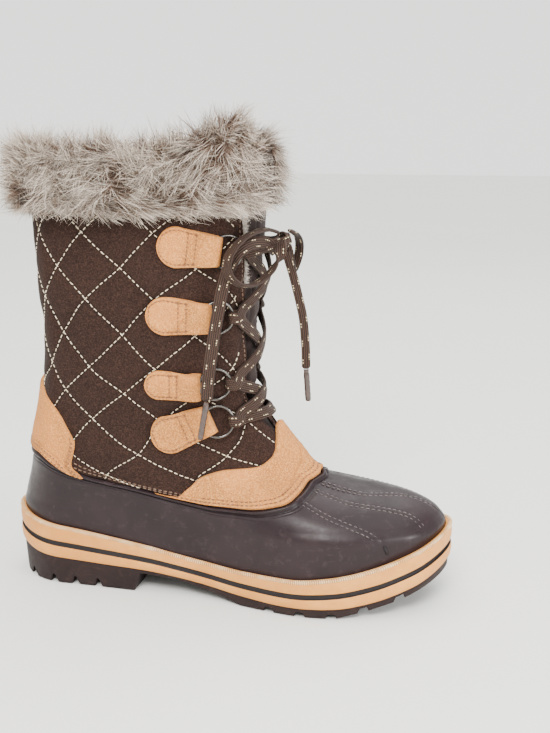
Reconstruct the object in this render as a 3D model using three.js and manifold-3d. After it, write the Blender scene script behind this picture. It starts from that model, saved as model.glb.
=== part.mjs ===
// Fur-collar snow boot, one right boot, toe towards +X, outer (lateral) side towards -Y, +Z up, in mm.
// The boot is laid out from the back of its heel (x = 0) to its toe and then moved so that its
// origin is the middle of its footprint on the ground.
import * as THREE from 'three';
import { mergeVertices } from 'three/addons/utils/BufferGeometryUtils.js';
import Module from 'manifold-3d';

const wasm = await Module();
wasm.setup();

// ---- sizes ----
const LENGTH = 290;
const GAP = 0.3;
const SHELL_WALL = 2.8;
const UPPER_WALL = 3;
const SUEDE = 1.6;
const TONGUE_WALL = 2.6;
const CUP_FLOOR = 5;
const INSOLE = 4.5;
// Degrees from the toe at which every piece of the foot is cut into facets, on either side.
const FACET_TURNS = [0, 10, 20, 30, 40, 50, 60, 70, 80, 90, 100, 110, 120, 126, 135, 144, 153, 162, 171, 180];
const EDGE = 1.2;
const GROOVE_DEPTH = 1.3;
const GROOVE_HALF = 1.7;
const GROOVE_LIP = 0.5;
const GROOVE_AT = 0.44;
const TUCK = 12;
const RING_RADIUS = 9.9;
const RING_WIRE = 0.9;
const LACE_WIDTH = 7.5;
const LACE_THICK = 2.2;

// One row per section ring of the last, from the sole edge up to the collar. back and front are the
// ends of the ring on the centre line; heel, waist, ball and nose are half widths along it; bend is
// how much of the right-foot curve the ring keeps.
const RINGS = [
  { backX: 2.5, backZ: 6, frontX: 286.5, frontZ: 6, heel: 33.5, waist: 33, ball: 49.5, nose: 36, bend: 1 },
  { backX: 2.5, backZ: 45, frontX: 286.5, frontZ: 46, heel: 34, waist: 34.5, ball: 50.5, nose: 36, bend: 1 },
  { backX: 4, backZ: 54, frontX: 282.5, frontZ: 54.5, heel: 33.5, waist: 35.5, ball: 48, nose: 33, bend: 0.95 },
  { backX: 6, backZ: 62, frontX: 272, frontZ: 61.5, heel: 33, waist: 36, ball: 44, nose: 27.5, bend: 0.85 },
  { backX: 8, backZ: 69, frontX: 254, frontZ: 67.5, heel: 32.5, waist: 36, ball: 38.5, nose: 21, bend: 0.7 },
  { backX: 9.5, backZ: 75, frontX: 228, frontZ: 72.5, heel: 32, waist: 36, ball: 33.5, nose: 16, bend: 0.55 },
  { backX: 11, backZ: 82, frontX: 204, frontZ: 79, heel: 32, waist: 36.5, ball: 31.5, nose: 16, bend: 0.4 },
  { backX: 14, backZ: 96, frontX: 189, frontZ: 94, heel: 32.5, waist: 37.5, ball: 32, nose: 18.5, bend: 0.25 },
  { backX: 18, backZ: 111, frontX: 174, frontZ: 111, heel: 33.5, waist: 38.5, ball: 33.5, nose: 21, bend: 0.15 },
  { backX: 22.5, backZ: 131, frontX: 164.5, frontZ: 131, heel: 35, waist: 40, ball: 36.5, nose: 24, bend: 0 },
  { backX: 24.5, backZ: 160, frontX: 164, frontZ: 160, heel: 38, waist: 43, ball: 39.5, nose: 27, bend: 0 },
  { backX: 24, backZ: 190, frontX: 166.5, frontZ: 190, heel: 41, waist: 45.5, ball: 42, nose: 29, bend: 0 },
  { backX: 22, backZ: 222, frontX: 169, frontZ: 222, heel: 42.5, waist: 47, ball: 43.5, nose: 30, bend: 0 },
  { backX: 21.5, backZ: 252, frontX: 171, frontZ: 252, heel: 43, waist: 48, ball: 44, nose: 30.5, bend: 0 },
];
const TOP_RING = RINGS.length - 1;

// Where along a ring (0 back, 1 front) its half widths are taken, and the sideways right-foot curve there.
const STATIONS = [
  { along: 0, curve: 0 },
  { along: 0.14, curve: 0 },
  { along: 0.42, curve: -3 },
  { along: 0.72, curve: -2.4 },
  { along: 0.92, curve: 1 },
  { along: 1, curve: 3 },
];
const SOLE_WIDTHS = { heel: 36.4, waist: 36.2, ball: 53, nose: 39 };

// Height of the tan sidewall's top and bottom edge along the foot.
const SIDEWALL = [
  { x: 0, top: 46.5, bottom: 25 },
  { x: 28, top: 42, bottom: 19.4 },
  { x: 60, top: 38, bottom: 17.2 },
  { x: 100, top: 32.5, bottom: 15.4 },
  { x: 135, top: 26.2, bottom: 10.8 },
  { x: 165, top: 23.8, bottom: 7.4 },
  { x: 195, top: 24, bottom: 6.2 },
  { x: 222, top: 27, bottom: 7 },
  { x: 247, top: 32.5, bottom: 11 },
  { x: 270, top: 40.5, bottom: 18.5 },
  { x: 290, top: 49, bottom: 28 },
];

// Underside of the tread: z = 0 under the heel block and the ball, arch between, toe spring in front.
const TREAD = [
  { x: -4, z: 9 },
  { x: 2.5, z: 5.5 },
  { x: 7, z: 0 },
  { x: 90, z: 0 },
  { x: 95, z: 12.5 },
  { x: 118, z: 11.2 },
  { x: 134, z: 7 },
  { x: 150, z: 4.2 },
  { x: 163, z: 0 },
  { x: 224, z: 0 },
  { x: 241, z: 4 },
  { x: 262, z: 10 },
  { x: 285, z: 19.5 },
  { x: 296, z: 25 },
];
// Cross grooves between the lugs: middle, half width at the mouth and at the root, and depth.
const NOTCHES = [
  { x: 15.5, mouth: 3, root: 0.6, depth: 6 },
  { x: 33.5, mouth: 3, root: 0.6, depth: 6 },
  { x: 49, mouth: 3, root: 0.6, depth: 6 },
  { x: 65, mouth: 3, root: 0.6, depth: 6 },
  { x: 182.5, mouth: 3.4, root: 2, depth: 3.6 },
  { x: 202.5, mouth: 3.4, root: 2, depth: 3.6 },
  { x: 222, mouth: 3.4, root: 2, depth: 3.6 },
  { x: 241, mouth: 3.4, root: 2, depth: 3.6 },
  { x: 262, mouth: 3.4, root: 2, depth: 3.6 },
];
// Lengthwise channel under the forefoot, between x positions.
const CHANNEL = { from: 145, to: 300, half: 5, depth: 4 };

// Edges drawn on the last: turn is the angle from the toe (radians, either side), level counts rings.
const RIM = [
  { turn: 0, level: 5.9 },
  { turn: 0.5, level: 5.5 },
  { turn: 0.9, level: 4.5 },
  { turn: 1.14, level: 3.65 },
  { turn: 1.35, level: 3.2 },
  { turn: 1.51, level: 3.2 },
  { turn: 1.66, level: 3.5 },
  { turn: 1.92, level: 4.45 },
  { turn: 2.11, level: 5.0 },
  { turn: 2.29, level: 5.6 },
  { turn: 2.6, level: 6.35 },
  { turn: 3.1416, level: 6.4 },
];
const SADDLE_TOP = [
  { turn: 0, level: 8.0 },
  { turn: 0.13, level: 7.9 },
  { turn: 0.33, level: 7.45 },
  { turn: 0.61, level: 6.75 },
  { turn: 0.81, level: 6.45 },
  { turn: 1.03, level: 6.4 },
  { turn: 1.21, level: 6.15 },
  { turn: 1.49, level: 4.9 },
  { turn: 1.66, level: 3.8 },
];
const HEEL_PATCH_TOP = [
  { turn: 2.19, level: 7.2 },
  { turn: 2.23, level: 7.8 },
  { turn: 2.27, level: 8.15 },
  { turn: 2.47, level: 8.65 },
  { turn: 2.75, level: 9.0 },
  { turn: 3.1416, level: 9.15 },
];
// Half width of the throat opening, from its foot up to the collar.
const THROAT = [
  { level: 7.9, half: 11 },
  { level: 9, half: 14 },
  { level: 10, half: 15 },
  { level: 11, half: 19.5 },
  { level: 12.2, half: 24.5 },
  { level: 13, half: 26 },
];
const TONGUE_FOOT = 7.2;
const TONGUE_HALF = 32;

// Lace tabs, collar to foot: ends of the centre line, half heights, and the middle of the wire ring.
const TABS = [
  { number: 1, rearX: 114.3, rearZ: 225.5, frontX: 150.5, frontZ: 221, rearHalf: 12.5, frontHalf: 9,
    ringX: 152.4, ringZ: 221 },
  { number: 2, rearX: 105.9, rearZ: 183, frontX: 144.2, frontZ: 181, rearHalf: 12, frontHalf: 9.2,
    ringX: 146.8, ringZ: 181.5 },
  { number: 3, rearX: 102.7, rearZ: 139, frontX: 136.8, frontZ: 137.5, rearHalf: 9.3, frontHalf: 8.6,
    ringX: 144.2, ringZ: 139.5 },
  { number: 4, rearX: 106, rearZ: 102.5, frontX: 142.8, frontZ: 117, rearHalf: 12.5, frontHalf: 9,
    ringX: 145.6, ringZ: 115 },
];
const TAB_BASE = 0.85;
const TAB_ROWS = 4;
const FOLD = 12.5;
const FOLD_THICK = 5;

// Section of the fur collar round the top edge: out is the distance from the last, z the height.
const FUR_SECTION = [
  { out: 0.5, z: 246 },
  { out: 9, z: 242 },
  { out: 16.5, z: 249 },
  { out: 18.5, z: 262 },
  { out: 17, z: 277 },
  { out: 10, z: 288 },
  { out: 1, z: 290.5 },
  { out: -6.5, z: 276 },
  { out: -4, z: 252.8 },
  { out: 0.5, z: 252.8 },
];
// How the collar changes from its front ends to the back: extra height of the top and share of the depth.
const FUR_RUN = [
  { turn: 0.34, rise: -4, depth: 0.2 },
  { turn: 0.55, rise: 6, depth: 0.4 },
  { turn: 0.75, rise: 11, depth: 0.65 },
  { turn: 1.05, rise: 6, depth: 0.9 },
  { turn: 1.4, rise: 0, depth: 1 },
  { turn: 3.1416, rise: 0, depth: 1 },
];
const FUR_SHOULDER = 262;

// ---- colours ----
const RUBBER_DARK = new THREE.MeshStandardMaterial({ color: 0x4a4345, roughness: 0.55, metalness: 0 });
const RUBBER_SOLE = new THREE.MeshStandardMaterial({ color: 0x453d3f, roughness: 0.7, metalness: 0 });
const RUBBER_TAN = new THREE.MeshStandardMaterial({ color: 0xd8bc94, roughness: 0.6, metalness: 0 });
const SUEDE_BROWN = new THREE.MeshStandardMaterial({ color: 0x3e322c, roughness: 0.95, metalness: 0 });
const SUEDE_TAN = new THREE.MeshStandardMaterial({ color: 0xc8a47c, roughness: 0.95, metalness: 0 });
const NYLON = new THREE.MeshStandardMaterial({ color: 0x5a4e4c, roughness: 0.8, metalness: 0 });
const FELT = new THREE.MeshStandardMaterial({ color: 0xb8ada0, roughness: 1, metalness: 0 });
const FUR = new THREE.MeshStandardMaterial({ color: 0xa89c92, roughness: 1, metalness: 0 });
const LACE = new THREE.MeshStandardMaterial({ color: 0x4e3b33, roughness: 0.85, metalness: 0 });
const STEEL = new THREE.MeshStandardMaterial({ color: 0xc9cacc, roughness: 0.25, metalness: 1 });
const AGLET = new THREE.MeshStandardMaterial({ color: 0x3a2c28, roughness: 0.4, metalness: 0 });

// ---- curves through short tables ----
// A smooth curve through (xs, ys) that never overshoots its own points.
function smoothCurve(xs, ys) {
  const last = xs.length - 1;
  const rise = [];
  for (let i = 0; i < last; i += 1) {
    rise.push((ys[i + 1] - ys[i]) / (xs[i + 1] - xs[i]));
  }
  const slope = [rise[0]];
  for (let i = 1; i < last; i += 1) {
    const before = xs[i] - xs[i - 1];
    const after = xs[i + 1] - xs[i];
    const w1 = 2 * after + before;
    const w2 = after + 2 * before;
    const turns = rise[i - 1] * rise[i] <= 0;
    slope.push(turns ? 0 : (w1 + w2) / (w1 / rise[i - 1] + w2 / rise[i]));
  }
  slope.push(rise[last - 1]);
  return (x) => {
    const at = Math.min(Math.max(x, xs[0]), xs[last]);
    let i = 0;
    while (i < last - 1 && at > xs[i + 1]) {
      i += 1;
    }
    const width = xs[i + 1] - xs[i];
    const t = (at - xs[i]) / width;
    const u = 1 - t;
    const ends = (1 + 2 * t) * u * u * ys[i] + t * t * (3 - 2 * t) * ys[i + 1];
    return ends + t * u * width * (u * slope[i] - t * slope[i + 1]);
  };
}

function column(rows, key, name) {
  return smoothCurve(rows.map((row) => row[key]), rows.map((row) => row[name]));
}

const sidewallTop = column(SIDEWALL, 'x', 'top');
const sidewallBottom = column(SIDEWALL, 'x', 'bottom');
const rimLevel = column(RIM, 'turn', 'level');
const saddleTopLevel = column(SADDLE_TOP, 'turn', 'level');
const heelPatchTopLevel = column(HEEL_PATCH_TOP, 'turn', 'level');
const throatHalf = column(THROAT, 'level', 'half');

const stationAngles = STATIONS.map((station) => Math.acos(1 - 2 * station.along));
const footCurve = smoothCurve(stationAngles, STATIONS.map((station) => station.curve));
const ringIndex = RINGS.map((_, index) => index);
const ringColumn = {};
for (const name of Object.keys(RINGS[0])) {
  ringColumn[name] = smoothCurve(ringIndex, RINGS.map((row) => row[name]));
}

function halfWidths(row) {
  return smoothCurve(stationAngles, [0, row.heel, row.waist, row.ball, row.nose, 0]);
}

const ringCache = new Map();
function ringAt(level) {
  const key = level.toFixed(5);
  if (!ringCache.has(key)) {
    const row = {};
    for (const name of Object.keys(ringColumn)) {
      row[name] = ringColumn[name](level);
    }
    row.width = halfWidths(row);
    ringCache.set(key, row);
  }
  return ringCache.get(key);
}

// ---- the last ----
function wrapTurn(turn) {
  return turn - 2 * Math.PI * Math.round(turn / (2 * Math.PI));
}

// Point of the last at a turn (0 toe, + towards the inner side, pi heel) and a ring level.
function lastPoint(turn, level) {
  const row = ringAt(level);
  const along = (1 + Math.cos(turn)) / 2;
  const angle = Math.acos(Math.min(1, Math.max(-1, 1 - 2 * along)));
  const side = wrapTurn(turn) >= 0 ? 1 : -1;
  const rise = along * along * (3 - 2 * along);
  return new THREE.Vector3(
    row.backX + (row.frontX - row.backX) * along,
    side * row.width(angle) + row.bend * footCurve(angle),
    row.backZ + (row.frontZ - row.backZ) * rise,
  );
}

function lastNormal(turn, level) {
  const step = 0.002;
  const low = Math.min(Math.max(level, step), TOP_RING - step);
  const across = lastPoint(turn + step, level).sub(lastPoint(turn - step, level));
  const upward = lastPoint(turn, low + step).sub(lastPoint(turn, low - step));
  return across.cross(upward).normalize();
}

function onLast(turn, level, out) {
  return lastPoint(turn, level).addScaledVector(lastNormal(turn, level), out);
}

// Ring level where the last passes a height, at a turn.
function levelAtHeight(turn, z) {
  let low = 0;
  let high = TOP_RING;
  for (let i = 0; i < 30; i += 1) {
    const middle = (low + high) / 2;
    if (lastPoint(turn, middle).z < z) {
      low = middle;
    } else {
      high = middle;
    }
  }
  return (low + high) / 2;
}

// Ring level a given length up (or down, if negative) the last's surface from another level.
const LEVEL_STEP = 0.02;
function levelShift(turn, level, length) {
  const step = Math.sign(length) * LEVEL_STEP;
  let at = level;
  let left = Math.abs(length);
  let from = lastPoint(turn, at);
  while (left > 0 && at > LEVEL_STEP && at < TOP_RING - LEVEL_STEP) {
    const to = lastPoint(turn, at + step);
    const run = to.distanceTo(from);
    at += step * Math.min(1, left / run);
    left -= run;
    from = to;
  }
  return at;
}

// Turn (positive) where the last is a given half width from its centre line at a level.
function turnAtHalf(level, half) {
  let low = 0;
  let high = Math.PI / 2;
  for (let i = 0; i < 30; i += 1) {
    const middle = (low + high) / 2;
    if (lastPoint(middle, level).y < half) {
      low = middle;
    } else {
      high = middle;
    }
  }
  return (low + high) / 2;
}

// Turn and level of the point of one side (-1 outer, 1 inner) of the last at x and z.
function sideSpot(side, x, z) {
  let turn = side * Math.PI / 2;
  let level = levelAtHeight(turn, z);
  for (let i = 0; i < 6; i += 1) {
    const row = ringAt(level);
    const along = Math.min(1, Math.max(0, (x - row.backX) / (row.frontX - row.backX)));
    turn = side * Math.acos(2 * along - 1);
    level = levelAtHeight(turn, z);
  }
  return { turn, level };
}

function onSide(side, x, z, out) {
  const spot = sideSpot(side, x, z);
  return onLast(spot.turn, spot.level, out);
}

// ---- solids from grids of points ----
function meshFrom(points, faces) {
  const geometry = new THREE.BufferGeometry();
  const places = points.flatMap((p) => [p.x, p.y, p.z]);
  geometry.setAttribute('position', new THREE.Float32BufferAttribute(places, 3));
  geometry.setIndex(faces.flat());
  return geometry;
}

// Turns the faces outward by the sign of the enclosed volume.
function faceOut(geometry) {
  const position = geometry.getAttribute('position');
  const index = geometry.getIndex().array;
  const a = new THREE.Vector3();
  const b = new THREE.Vector3();
  const c = new THREE.Vector3();
  let volume = 0;
  for (let i = 0; i < index.length; i += 3) {
    a.fromBufferAttribute(position, index[i]);
    b.fromBufferAttribute(position, index[i + 1]);
    c.fromBufferAttribute(position, index[i + 2]);
    volume += a.dot(b.cross(c));
  }
  if (volume < 0) {
    for (let i = 0; i < index.length; i += 3) {
      const swap = index[i];
      index[i] = index[i + 1];
      index[i + 1] = swap;
    }
  }
  return geometry;
}

function quad(faces, a, b, c, d) {
  faces.push([a, b, c], [a, c, d]);
}

// A wall: rows of outer points with rows of inner points behind them, closed round all its edges.
function wallSolid(outer, inner, closed) {
  const rows = outer.length;
  const count = outer[0].length;
  const points = [...outer.flat(), ...inner.flat()];
  const back = rows * count;
  const faces = [];
  const spans = closed ? count : count - 1;
  for (let j = 0; j < rows - 1; j += 1) {
    for (let i = 0; i < spans; i += 1) {
      const k = (i + 1) % count;
      const p = j * count;
      const q = p + count;
      quad(faces, p + i, p + k, q + k, q + i);
      quad(faces, back + q + i, back + q + k, back + p + k, back + p + i);
    }
  }
  const top = (rows - 1) * count;
  for (let i = 0; i < spans; i += 1) {
    const k = (i + 1) % count;
    quad(faces, k, i, back + i, back + k);
    quad(faces, top + i, top + k, back + top + k, back + top + i);
  }
  if (!closed) {
    for (let j = 0; j < rows - 1; j += 1) {
      const p = j * count;
      const q = p + count;
      const end = count - 1;
      quad(faces, p, q, back + q, back + p);
      quad(faces, q + end, p + end, back + p + end, back + q + end);
    }
  }
  return faceOut(meshFrom(points, faces));
}

// Flat-ended stack of closed loops whose points run from the toe round to the heel and back.
function stackSolid(loops) {
  const count = loops[0].length;
  const points = loops.flat();
  const faces = [];
  for (let j = 0; j < loops.length - 1; j += 1) {
    for (let i = 0; i < count; i += 1) {
      const k = (i + 1) % count;
      const p = j * count;
      const q = p + count;
      quad(faces, p + i, p + k, q + k, q + i);
    }
  }
  const half = count / 2;
  const cap = (base, flip) => {
    for (let i = 0; i < half; i += 1) {
      const a = base + i;
      const b = base + i + 1;
      const c = base + ((count - i - 1) % count);
      const d = base + ((count - i) % count);
      const strip = [];
      if (i > 0) {
        strip.push([a, b, d]);
      }
      if (i < half - 1) {
        strip.push([b, c, d]);
      }
      for (const face of strip) {
        faces.push(flip ? [face[2], face[1], face[0]] : face);
      }
    }
  };
  cap(0, true);
  cap((loops.length - 1) * count, false);
  return faceOut(meshFrom(points, faces));
}

function toSolid(geometry) {
  const bare = geometry.clone();
  bare.deleteAttribute('normal');
  bare.deleteAttribute('uv');
  const merged = mergeVertices(bare, 1e-4);
  return new wasm.Manifold(new wasm.Mesh({
    numProp: 3,
    vertProperties: new Float32Array(merged.getAttribute('position').array),
    triVerts: new Uint32Array(merged.getIndex().array),
  }));
}

function fromSolid(solid) {
  const mesh = solid.getMesh();
  const geometry = new THREE.BufferGeometry();
  geometry.setAttribute('position', new THREE.BufferAttribute(new Float32Array(mesh.vertProperties), 3));
  geometry.setIndex(new THREE.BufferAttribute(new Uint32Array(mesh.triVerts), 1));
  return geometry;
}

const boot = new THREE.Group();
boot.position.set(-LENGTH / 2, 0, 0);

function addPiece(name, geometry, material) {
  const piece = new THREE.Mesh(geometry, material);
  piece.name = name;
  boot.add(piece);
  return piece;
}

function turnsBetween(from, to, count) {
  return Array.from({ length: count }, (_, i) => from + ((to - from) * i) / (count - 1));
}

const halfTurns = FACET_TURNS.map((turn) => THREE.MathUtils.degToRad(turn));
const around = [...halfTurns, ...halfTurns.slice(1, -1).reverse().map((turn) => -turn)];
// The facet turns run from the toe round the inner side to the heel and back along the outer side.
const foldTurn = (turn) => Math.abs(wrapTurn(turn));

// ---- sole ----
const soleWidth = halfWidths(SOLE_WIDTHS);
function soleEdge(turn, inset, heightOf) {
  const along = (1 + Math.cos(turn)) / 2;
  const angle = Math.acos(Math.min(1, Math.max(-1, 1 - 2 * along)));
  const side = wrapTurn(turn) >= 0 ? 1 : -1;
  const shrink = 1 - (2 * inset) / LENGTH;
  const x = LENGTH / 2 + (LENGTH * (along - 0.5)) * shrink;
  const half = soleWidth(angle) * (1 - inset / SOLE_WIDTHS.ball);
  return new THREE.Vector3(x, side * half + footCurve(angle), heightOf(x));
}

const soleLoop = (inset, heightOf) => around.map((turn) => soleEdge(turn, inset, heightOf));
const cupFloor = (x) => sidewallBottom(x) + CUP_FLOOR;

const CUP_GAP = 0.4;
function cupLoop(out, heightOf) {
  return around.map((turn) => {
    const x = lastPoint(turn, 1).x;
    const level = levelAtHeight(turn, heightOf(x));
    const point = onLast(turn, level, out);
    point.z = heightOf(x);
    return point;
  });
}

const grooveMiddle = (x) => sidewallBottom(x) + (sidewallTop(x) - sidewallBottom(x)) * GROOVE_AT;
const midsole = stackSolid([
  soleLoop(EDGE, (x) => sidewallBottom(x)),
  soleLoop(0, (x) => sidewallBottom(x) + EDGE),
  soleLoop(0, (x) => grooveMiddle(x) - GROOVE_HALF),
  soleLoop(GROOVE_DEPTH, (x) => grooveMiddle(x) - GROOVE_HALF + GROOVE_LIP),
  soleLoop(GROOVE_DEPTH, (x) => grooveMiddle(x) + GROOVE_HALF - GROOVE_LIP),
  soleLoop(0, (x) => grooveMiddle(x) + GROOVE_HALF),
  soleLoop(0, (x) => sidewallTop(x) - EDGE),
  soleLoop(EDGE, (x) => sidewallTop(x)),
  cupLoop(CUP_GAP, (x) => sidewallTop(x) - GAP),
  cupLoop(CUP_GAP, cupFloor),
]);
addPiece('midsole', midsole, RUBBER_TAN);

const TREAD_INSET = { bottom: 3.4, top: 1.6 };
const TREAD_FLOOR = -2;
const TREAD_ROOF = 60;
const SOLE_SPAN = 140;
const treadBlock = stackSolid([
  soleLoop(TREAD_INSET.bottom, () => TREAD_FLOOR),
  soleLoop(TREAD_INSET.top, (x) => sidewallBottom(x) - GAP),
]);
const sideProfile = new THREE.Shape();
sideProfile.moveTo(TREAD[0].x, TREAD_ROOF);
for (const point of TREAD) {
  sideProfile.lineTo(point.x, point.z);
}
sideProfile.lineTo(TREAD[TREAD.length - 1].x, TREAD_ROOF);
sideProfile.closePath();
const treadHeight = (x) => {
  const next = TREAD.findIndex((point) => point.x > x);
  const a = TREAD[next - 1];
  const b = TREAD[next];
  return a.z + ((b.z - a.z) * (x - a.x)) / (b.x - a.x);
};

// A shape drawn in x and z, drawn out along y.
function alongY(shape, depth) {
  const geometry = new THREE.ExtrudeGeometry(shape, { depth, bevelEnabled: false });
  geometry.rotateX(Math.PI / 2);
  geometry.translate(0, depth / 2, 0);
  return geometry;
}

let outsole = toSolid(treadBlock).intersect(toSolid(alongY(sideProfile, SOLE_SPAN)));
for (const notch of NOTCHES) {
  // The groove's sides run on below the tread at the same slope.
  const z = treadHeight(notch.x);
  const slope = (notch.mouth - notch.root) / notch.depth;
  const foot = notch.mouth + slope * notch.depth;
  const groove = new THREE.Shape();
  groove.moveTo(notch.x - foot, z - notch.depth);
  groove.lineTo(notch.x + foot, z - notch.depth);
  groove.lineTo(notch.x + notch.root, z + notch.depth);
  groove.lineTo(notch.x - notch.root, z + notch.depth);
  groove.closePath();
  outsole = outsole.subtract(toSolid(alongY(groove, SOLE_SPAN)));
}
const channel = new THREE.BoxGeometry(CHANNEL.to - CHANNEL.from, 2 * CHANNEL.half, 2 * CHANNEL.depth);
channel.translate((CHANNEL.from + CHANNEL.to) / 2, 0, 0);
outsole = outsole.subtract(toSolid(channel));
addPiece('outsole', fromSolid(outsole), RUBBER_SOLE);

// ---- rubber shell of the lower foot ----
const SHELL_ROWS = 6;
function shellRow(share, out) {
  return around.map((turn) => {
    const x = lastPoint(turn, 1).x;
    const foot = levelAtHeight(turn, cupFloor(x) + GAP);
    const rim = rimLevel(foldTurn(turn));
    return onLast(turn, foot + (rim - foot) * share, out);
  });
}
// The raised bead along the shell's top edge: drop is the distance below the edge.
const BEAD = [
  { drop: 4.4, out: 0.05, inner: 0 },
  { drop: 3.2, out: 1.4, inner: 0 },
  { drop: 0.6, out: 1.4, inner: 0 },
  { drop: 0, out: 0, inner: 0.4 },
];
const beadRow = (drop, out) => around.map((turn) => {
  const rim = rimLevel(foldTurn(turn));
  return onLast(turn, levelShift(turn, rim, -drop), out);
});
const shellShares = turnsBetween(0, 1, SHELL_ROWS).slice(0, -1);
const shellOuter = [
  ...shellShares.map((share) => shellRow(share, 0)),
  ...BEAD.map((row) => beadRow(row.drop, row.out)),
];
const shellInner = [
  ...shellShares.map((share) => shellRow(share, -SHELL_WALL)),
  ...BEAD.map((row) => beadRow(row.drop, row.inner - SHELL_WALL)),
];
addPiece('shell', wallSolid(shellOuter, shellInner, true), RUBBER_DARK);

// ---- insole ----
const INSOLE_EDGE = 1;
const INSOLE_GAP = 0.6;
const insoleLoop = (inset, lift) => cupLoop(-SHELL_WALL - INSOLE_GAP - inset, (x) => cupFloor(x) + GAP + lift);
const insole = stackSolid([
  insoleLoop(0, 0),
  insoleLoop(0, INSOLE - INSOLE_EDGE),
  insoleLoop(INSOLE_EDGE, INSOLE),
]);
addPiece('insole', insole, FELT);

// ---- quilted shaft, tucked into the shell ----
const UPPER_SHARES = [0, 0.07, 0.15, 0.23, 0.32, 0.43, 0.56, 0.7, 0.85, 1];
const TUCK_OUT = -SHELL_WALL - 0.9;
// Lengths up the last from the shell's edge: where the tucked part ends, and where the shaft is full.
const RIM_CLEAR = 1.6;
const RIM_SLOPE = 4.5;
const TUCK_SHIFTS = [-TUCK, -TUCK / 4, RIM_CLEAR];
function upperLoops(grow) {
  const hidden = TUCK_SHIFTS.map((shift) => around.map((turn) => {
    const level = levelShift(turn, rimLevel(foldTurn(turn)), shift);
    return onLast(turn, level, TUCK_OUT + grow);
  }));
  const shown = UPPER_SHARES.map((share) => around.map((turn) => {
    const start = levelShift(turn, rimLevel(foldTurn(turn)), RIM_SLOPE);
    return onLast(turn, start + (TOP_RING - start) * share, grow);
  }));
  return [...hidden, ...shown];
}
const shaft = toSolid(wallSolid(upperLoops(0), upperLoops(-UPPER_WALL), true));
// The shaft's outside grown a little and filled, which the suede lying on it is cut with.
const OVERLAY_GAP = 0.5;
const shaftFilled = toSolid(stackSolid(upperLoops(OVERLAY_GAP)));

const THROAT_ROWS = 8;
const THROAT_FOOT = THROAT[0].level;
const THROAT_COLUMNS = 7;
const THROAT_OVER = 8;
const THROAT_OUT = 16;
const THROAT_IN = -8;
function throatRow(row, out) {
  const level = THROAT_FOOT + ((TOP_RING - THROAT_FOOT) * row) / (THROAT_ROWS - 1);
  const half = turnAtHalf(level, throatHalf(level));
  const points = turnsBetween(-half, half, THROAT_COLUMNS).map((turn) => onLast(turn, level, out));
  if (row === THROAT_ROWS - 1) {
    points.forEach((point) => {
      point.z += THROAT_OVER;
    });
  }
  return points;
}
const throatRows = Array.from({ length: THROAT_ROWS }, (_, row) => row);
const throat = wallSolid(
  throatRows.map((row) => throatRow(row, THROAT_OUT)),
  throatRows.map((row) => throatRow(row, THROAT_IN)),
  false,
);
addPiece('upper', fromSolid(shaft.subtract(toSolid(throat))), SUEDE_BROWN);

// ---- tongue behind the throat ----
const TONGUE_ROWS = 8;
const TONGUE_COLUMNS = 11;
// The tongue lies this far behind the shaft's lining and swells forward inside the throat's edges.
const TONGUE_BACK = 1.4;
const TONGUE_SWELL = 3.6;
const TONGUE_CLEAR = 4;
const TONGUE_WRAP = 3;
function tongueRow(row, back) {
  const level = TONGUE_FOOT + ((TOP_RING - TONGUE_FOOT) * row) / (TONGUE_ROWS - 1);
  const edge = turnAtHalf(level, Math.min(TONGUE_HALF, ringAt(level).nose + TONGUE_WRAP));
  const open = level > THROAT_FOOT + 0.5 ? throatHalf(level) - TONGUE_CLEAR : 0;
  return turnsBetween(-edge, edge, TONGUE_COLUMNS).map((turn) => {
    const half = Math.abs(lastPoint(turn, level).y);
    const swell = open > 0 ? Math.max(0, 1 - (half / open) ** 2) : 0;
    const out = -UPPER_WALL - TONGUE_BACK + swell * TONGUE_SWELL;
    return onLast(turn, level, back ? out - TONGUE_WALL : out);
  });
}
const tongueRows = Array.from({ length: TONGUE_ROWS }, (_, row) => row);
addPiece('tongue', wallSolid(
  tongueRows.map((row) => tongueRow(row, false)),
  tongueRows.map((row) => tongueRow(row, true)),
  false,
), NYLON);

// ---- tan suede over the instep and behind the heel ----
const OVERLAY_OUT = OVERLAY_GAP + SUEDE;
const OVERLAY_ROOT = -1.5;
const OVERLAY_ROWS = 5;
const OVERLAY_LEAST = 0.3;
function overlayRows(turns, topOf, out) {
  return turnsBetween(0, 1, OVERLAY_ROWS).map((share) => turns.map((turn) => {
    const foot = levelShift(turn, rimLevel(foldTurn(turn)), RIM_CLEAR);
    const top = Math.max(topOf(foldTurn(turn)), foot + OVERLAY_LEAST);
    return onLast(turn, foot + (top - foot) * share, out);
  }));
}
function overlay(turns, topOf) {
  const outer = overlayRows(turns, topOf, OVERLAY_OUT);
  const inner = overlayRows(turns, topOf, OVERLAY_ROOT);
  return fromSolid(toSolid(wallSolid(outer, inner, false)).subtract(shaftFilled));
}
const SADDLE_REACH = THREE.MathUtils.degToRad(100.5);
const saddleTurns = around.filter((turn) => Math.abs(turn) < SADDLE_REACH).sort((a, b) => a - b);
addPiece('saddle', overlay(saddleTurns, saddleTopLevel), SUEDE_TAN);

const HEEL_EDGE = THREE.MathUtils.degToRad(125.5);
const heelTurns = around.map((turn) => (turn < 0 ? turn + 2 * Math.PI : turn))
  .filter((turn) => turn > HEEL_EDGE && turn < 2 * Math.PI - HEEL_EDGE);
addPiece('heel_patch', overlay(heelTurns, heelPatchTopLevel), SUEDE_TAN);

// ---- lace tabs with a wire ring in the fold of each ----
function tabSpot(tab, side, along, across, out) {
  const axis = new THREE.Vector2(tab.frontX - tab.rearX, tab.frontZ - tab.rearZ);
  const length = axis.length();
  axis.normalize();
  const x = tab.rearX + axis.x * along * length - axis.y * across;
  const z = tab.rearZ + axis.y * along * length + axis.x * across;
  return onSide(side, x, z, out);
}

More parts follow.
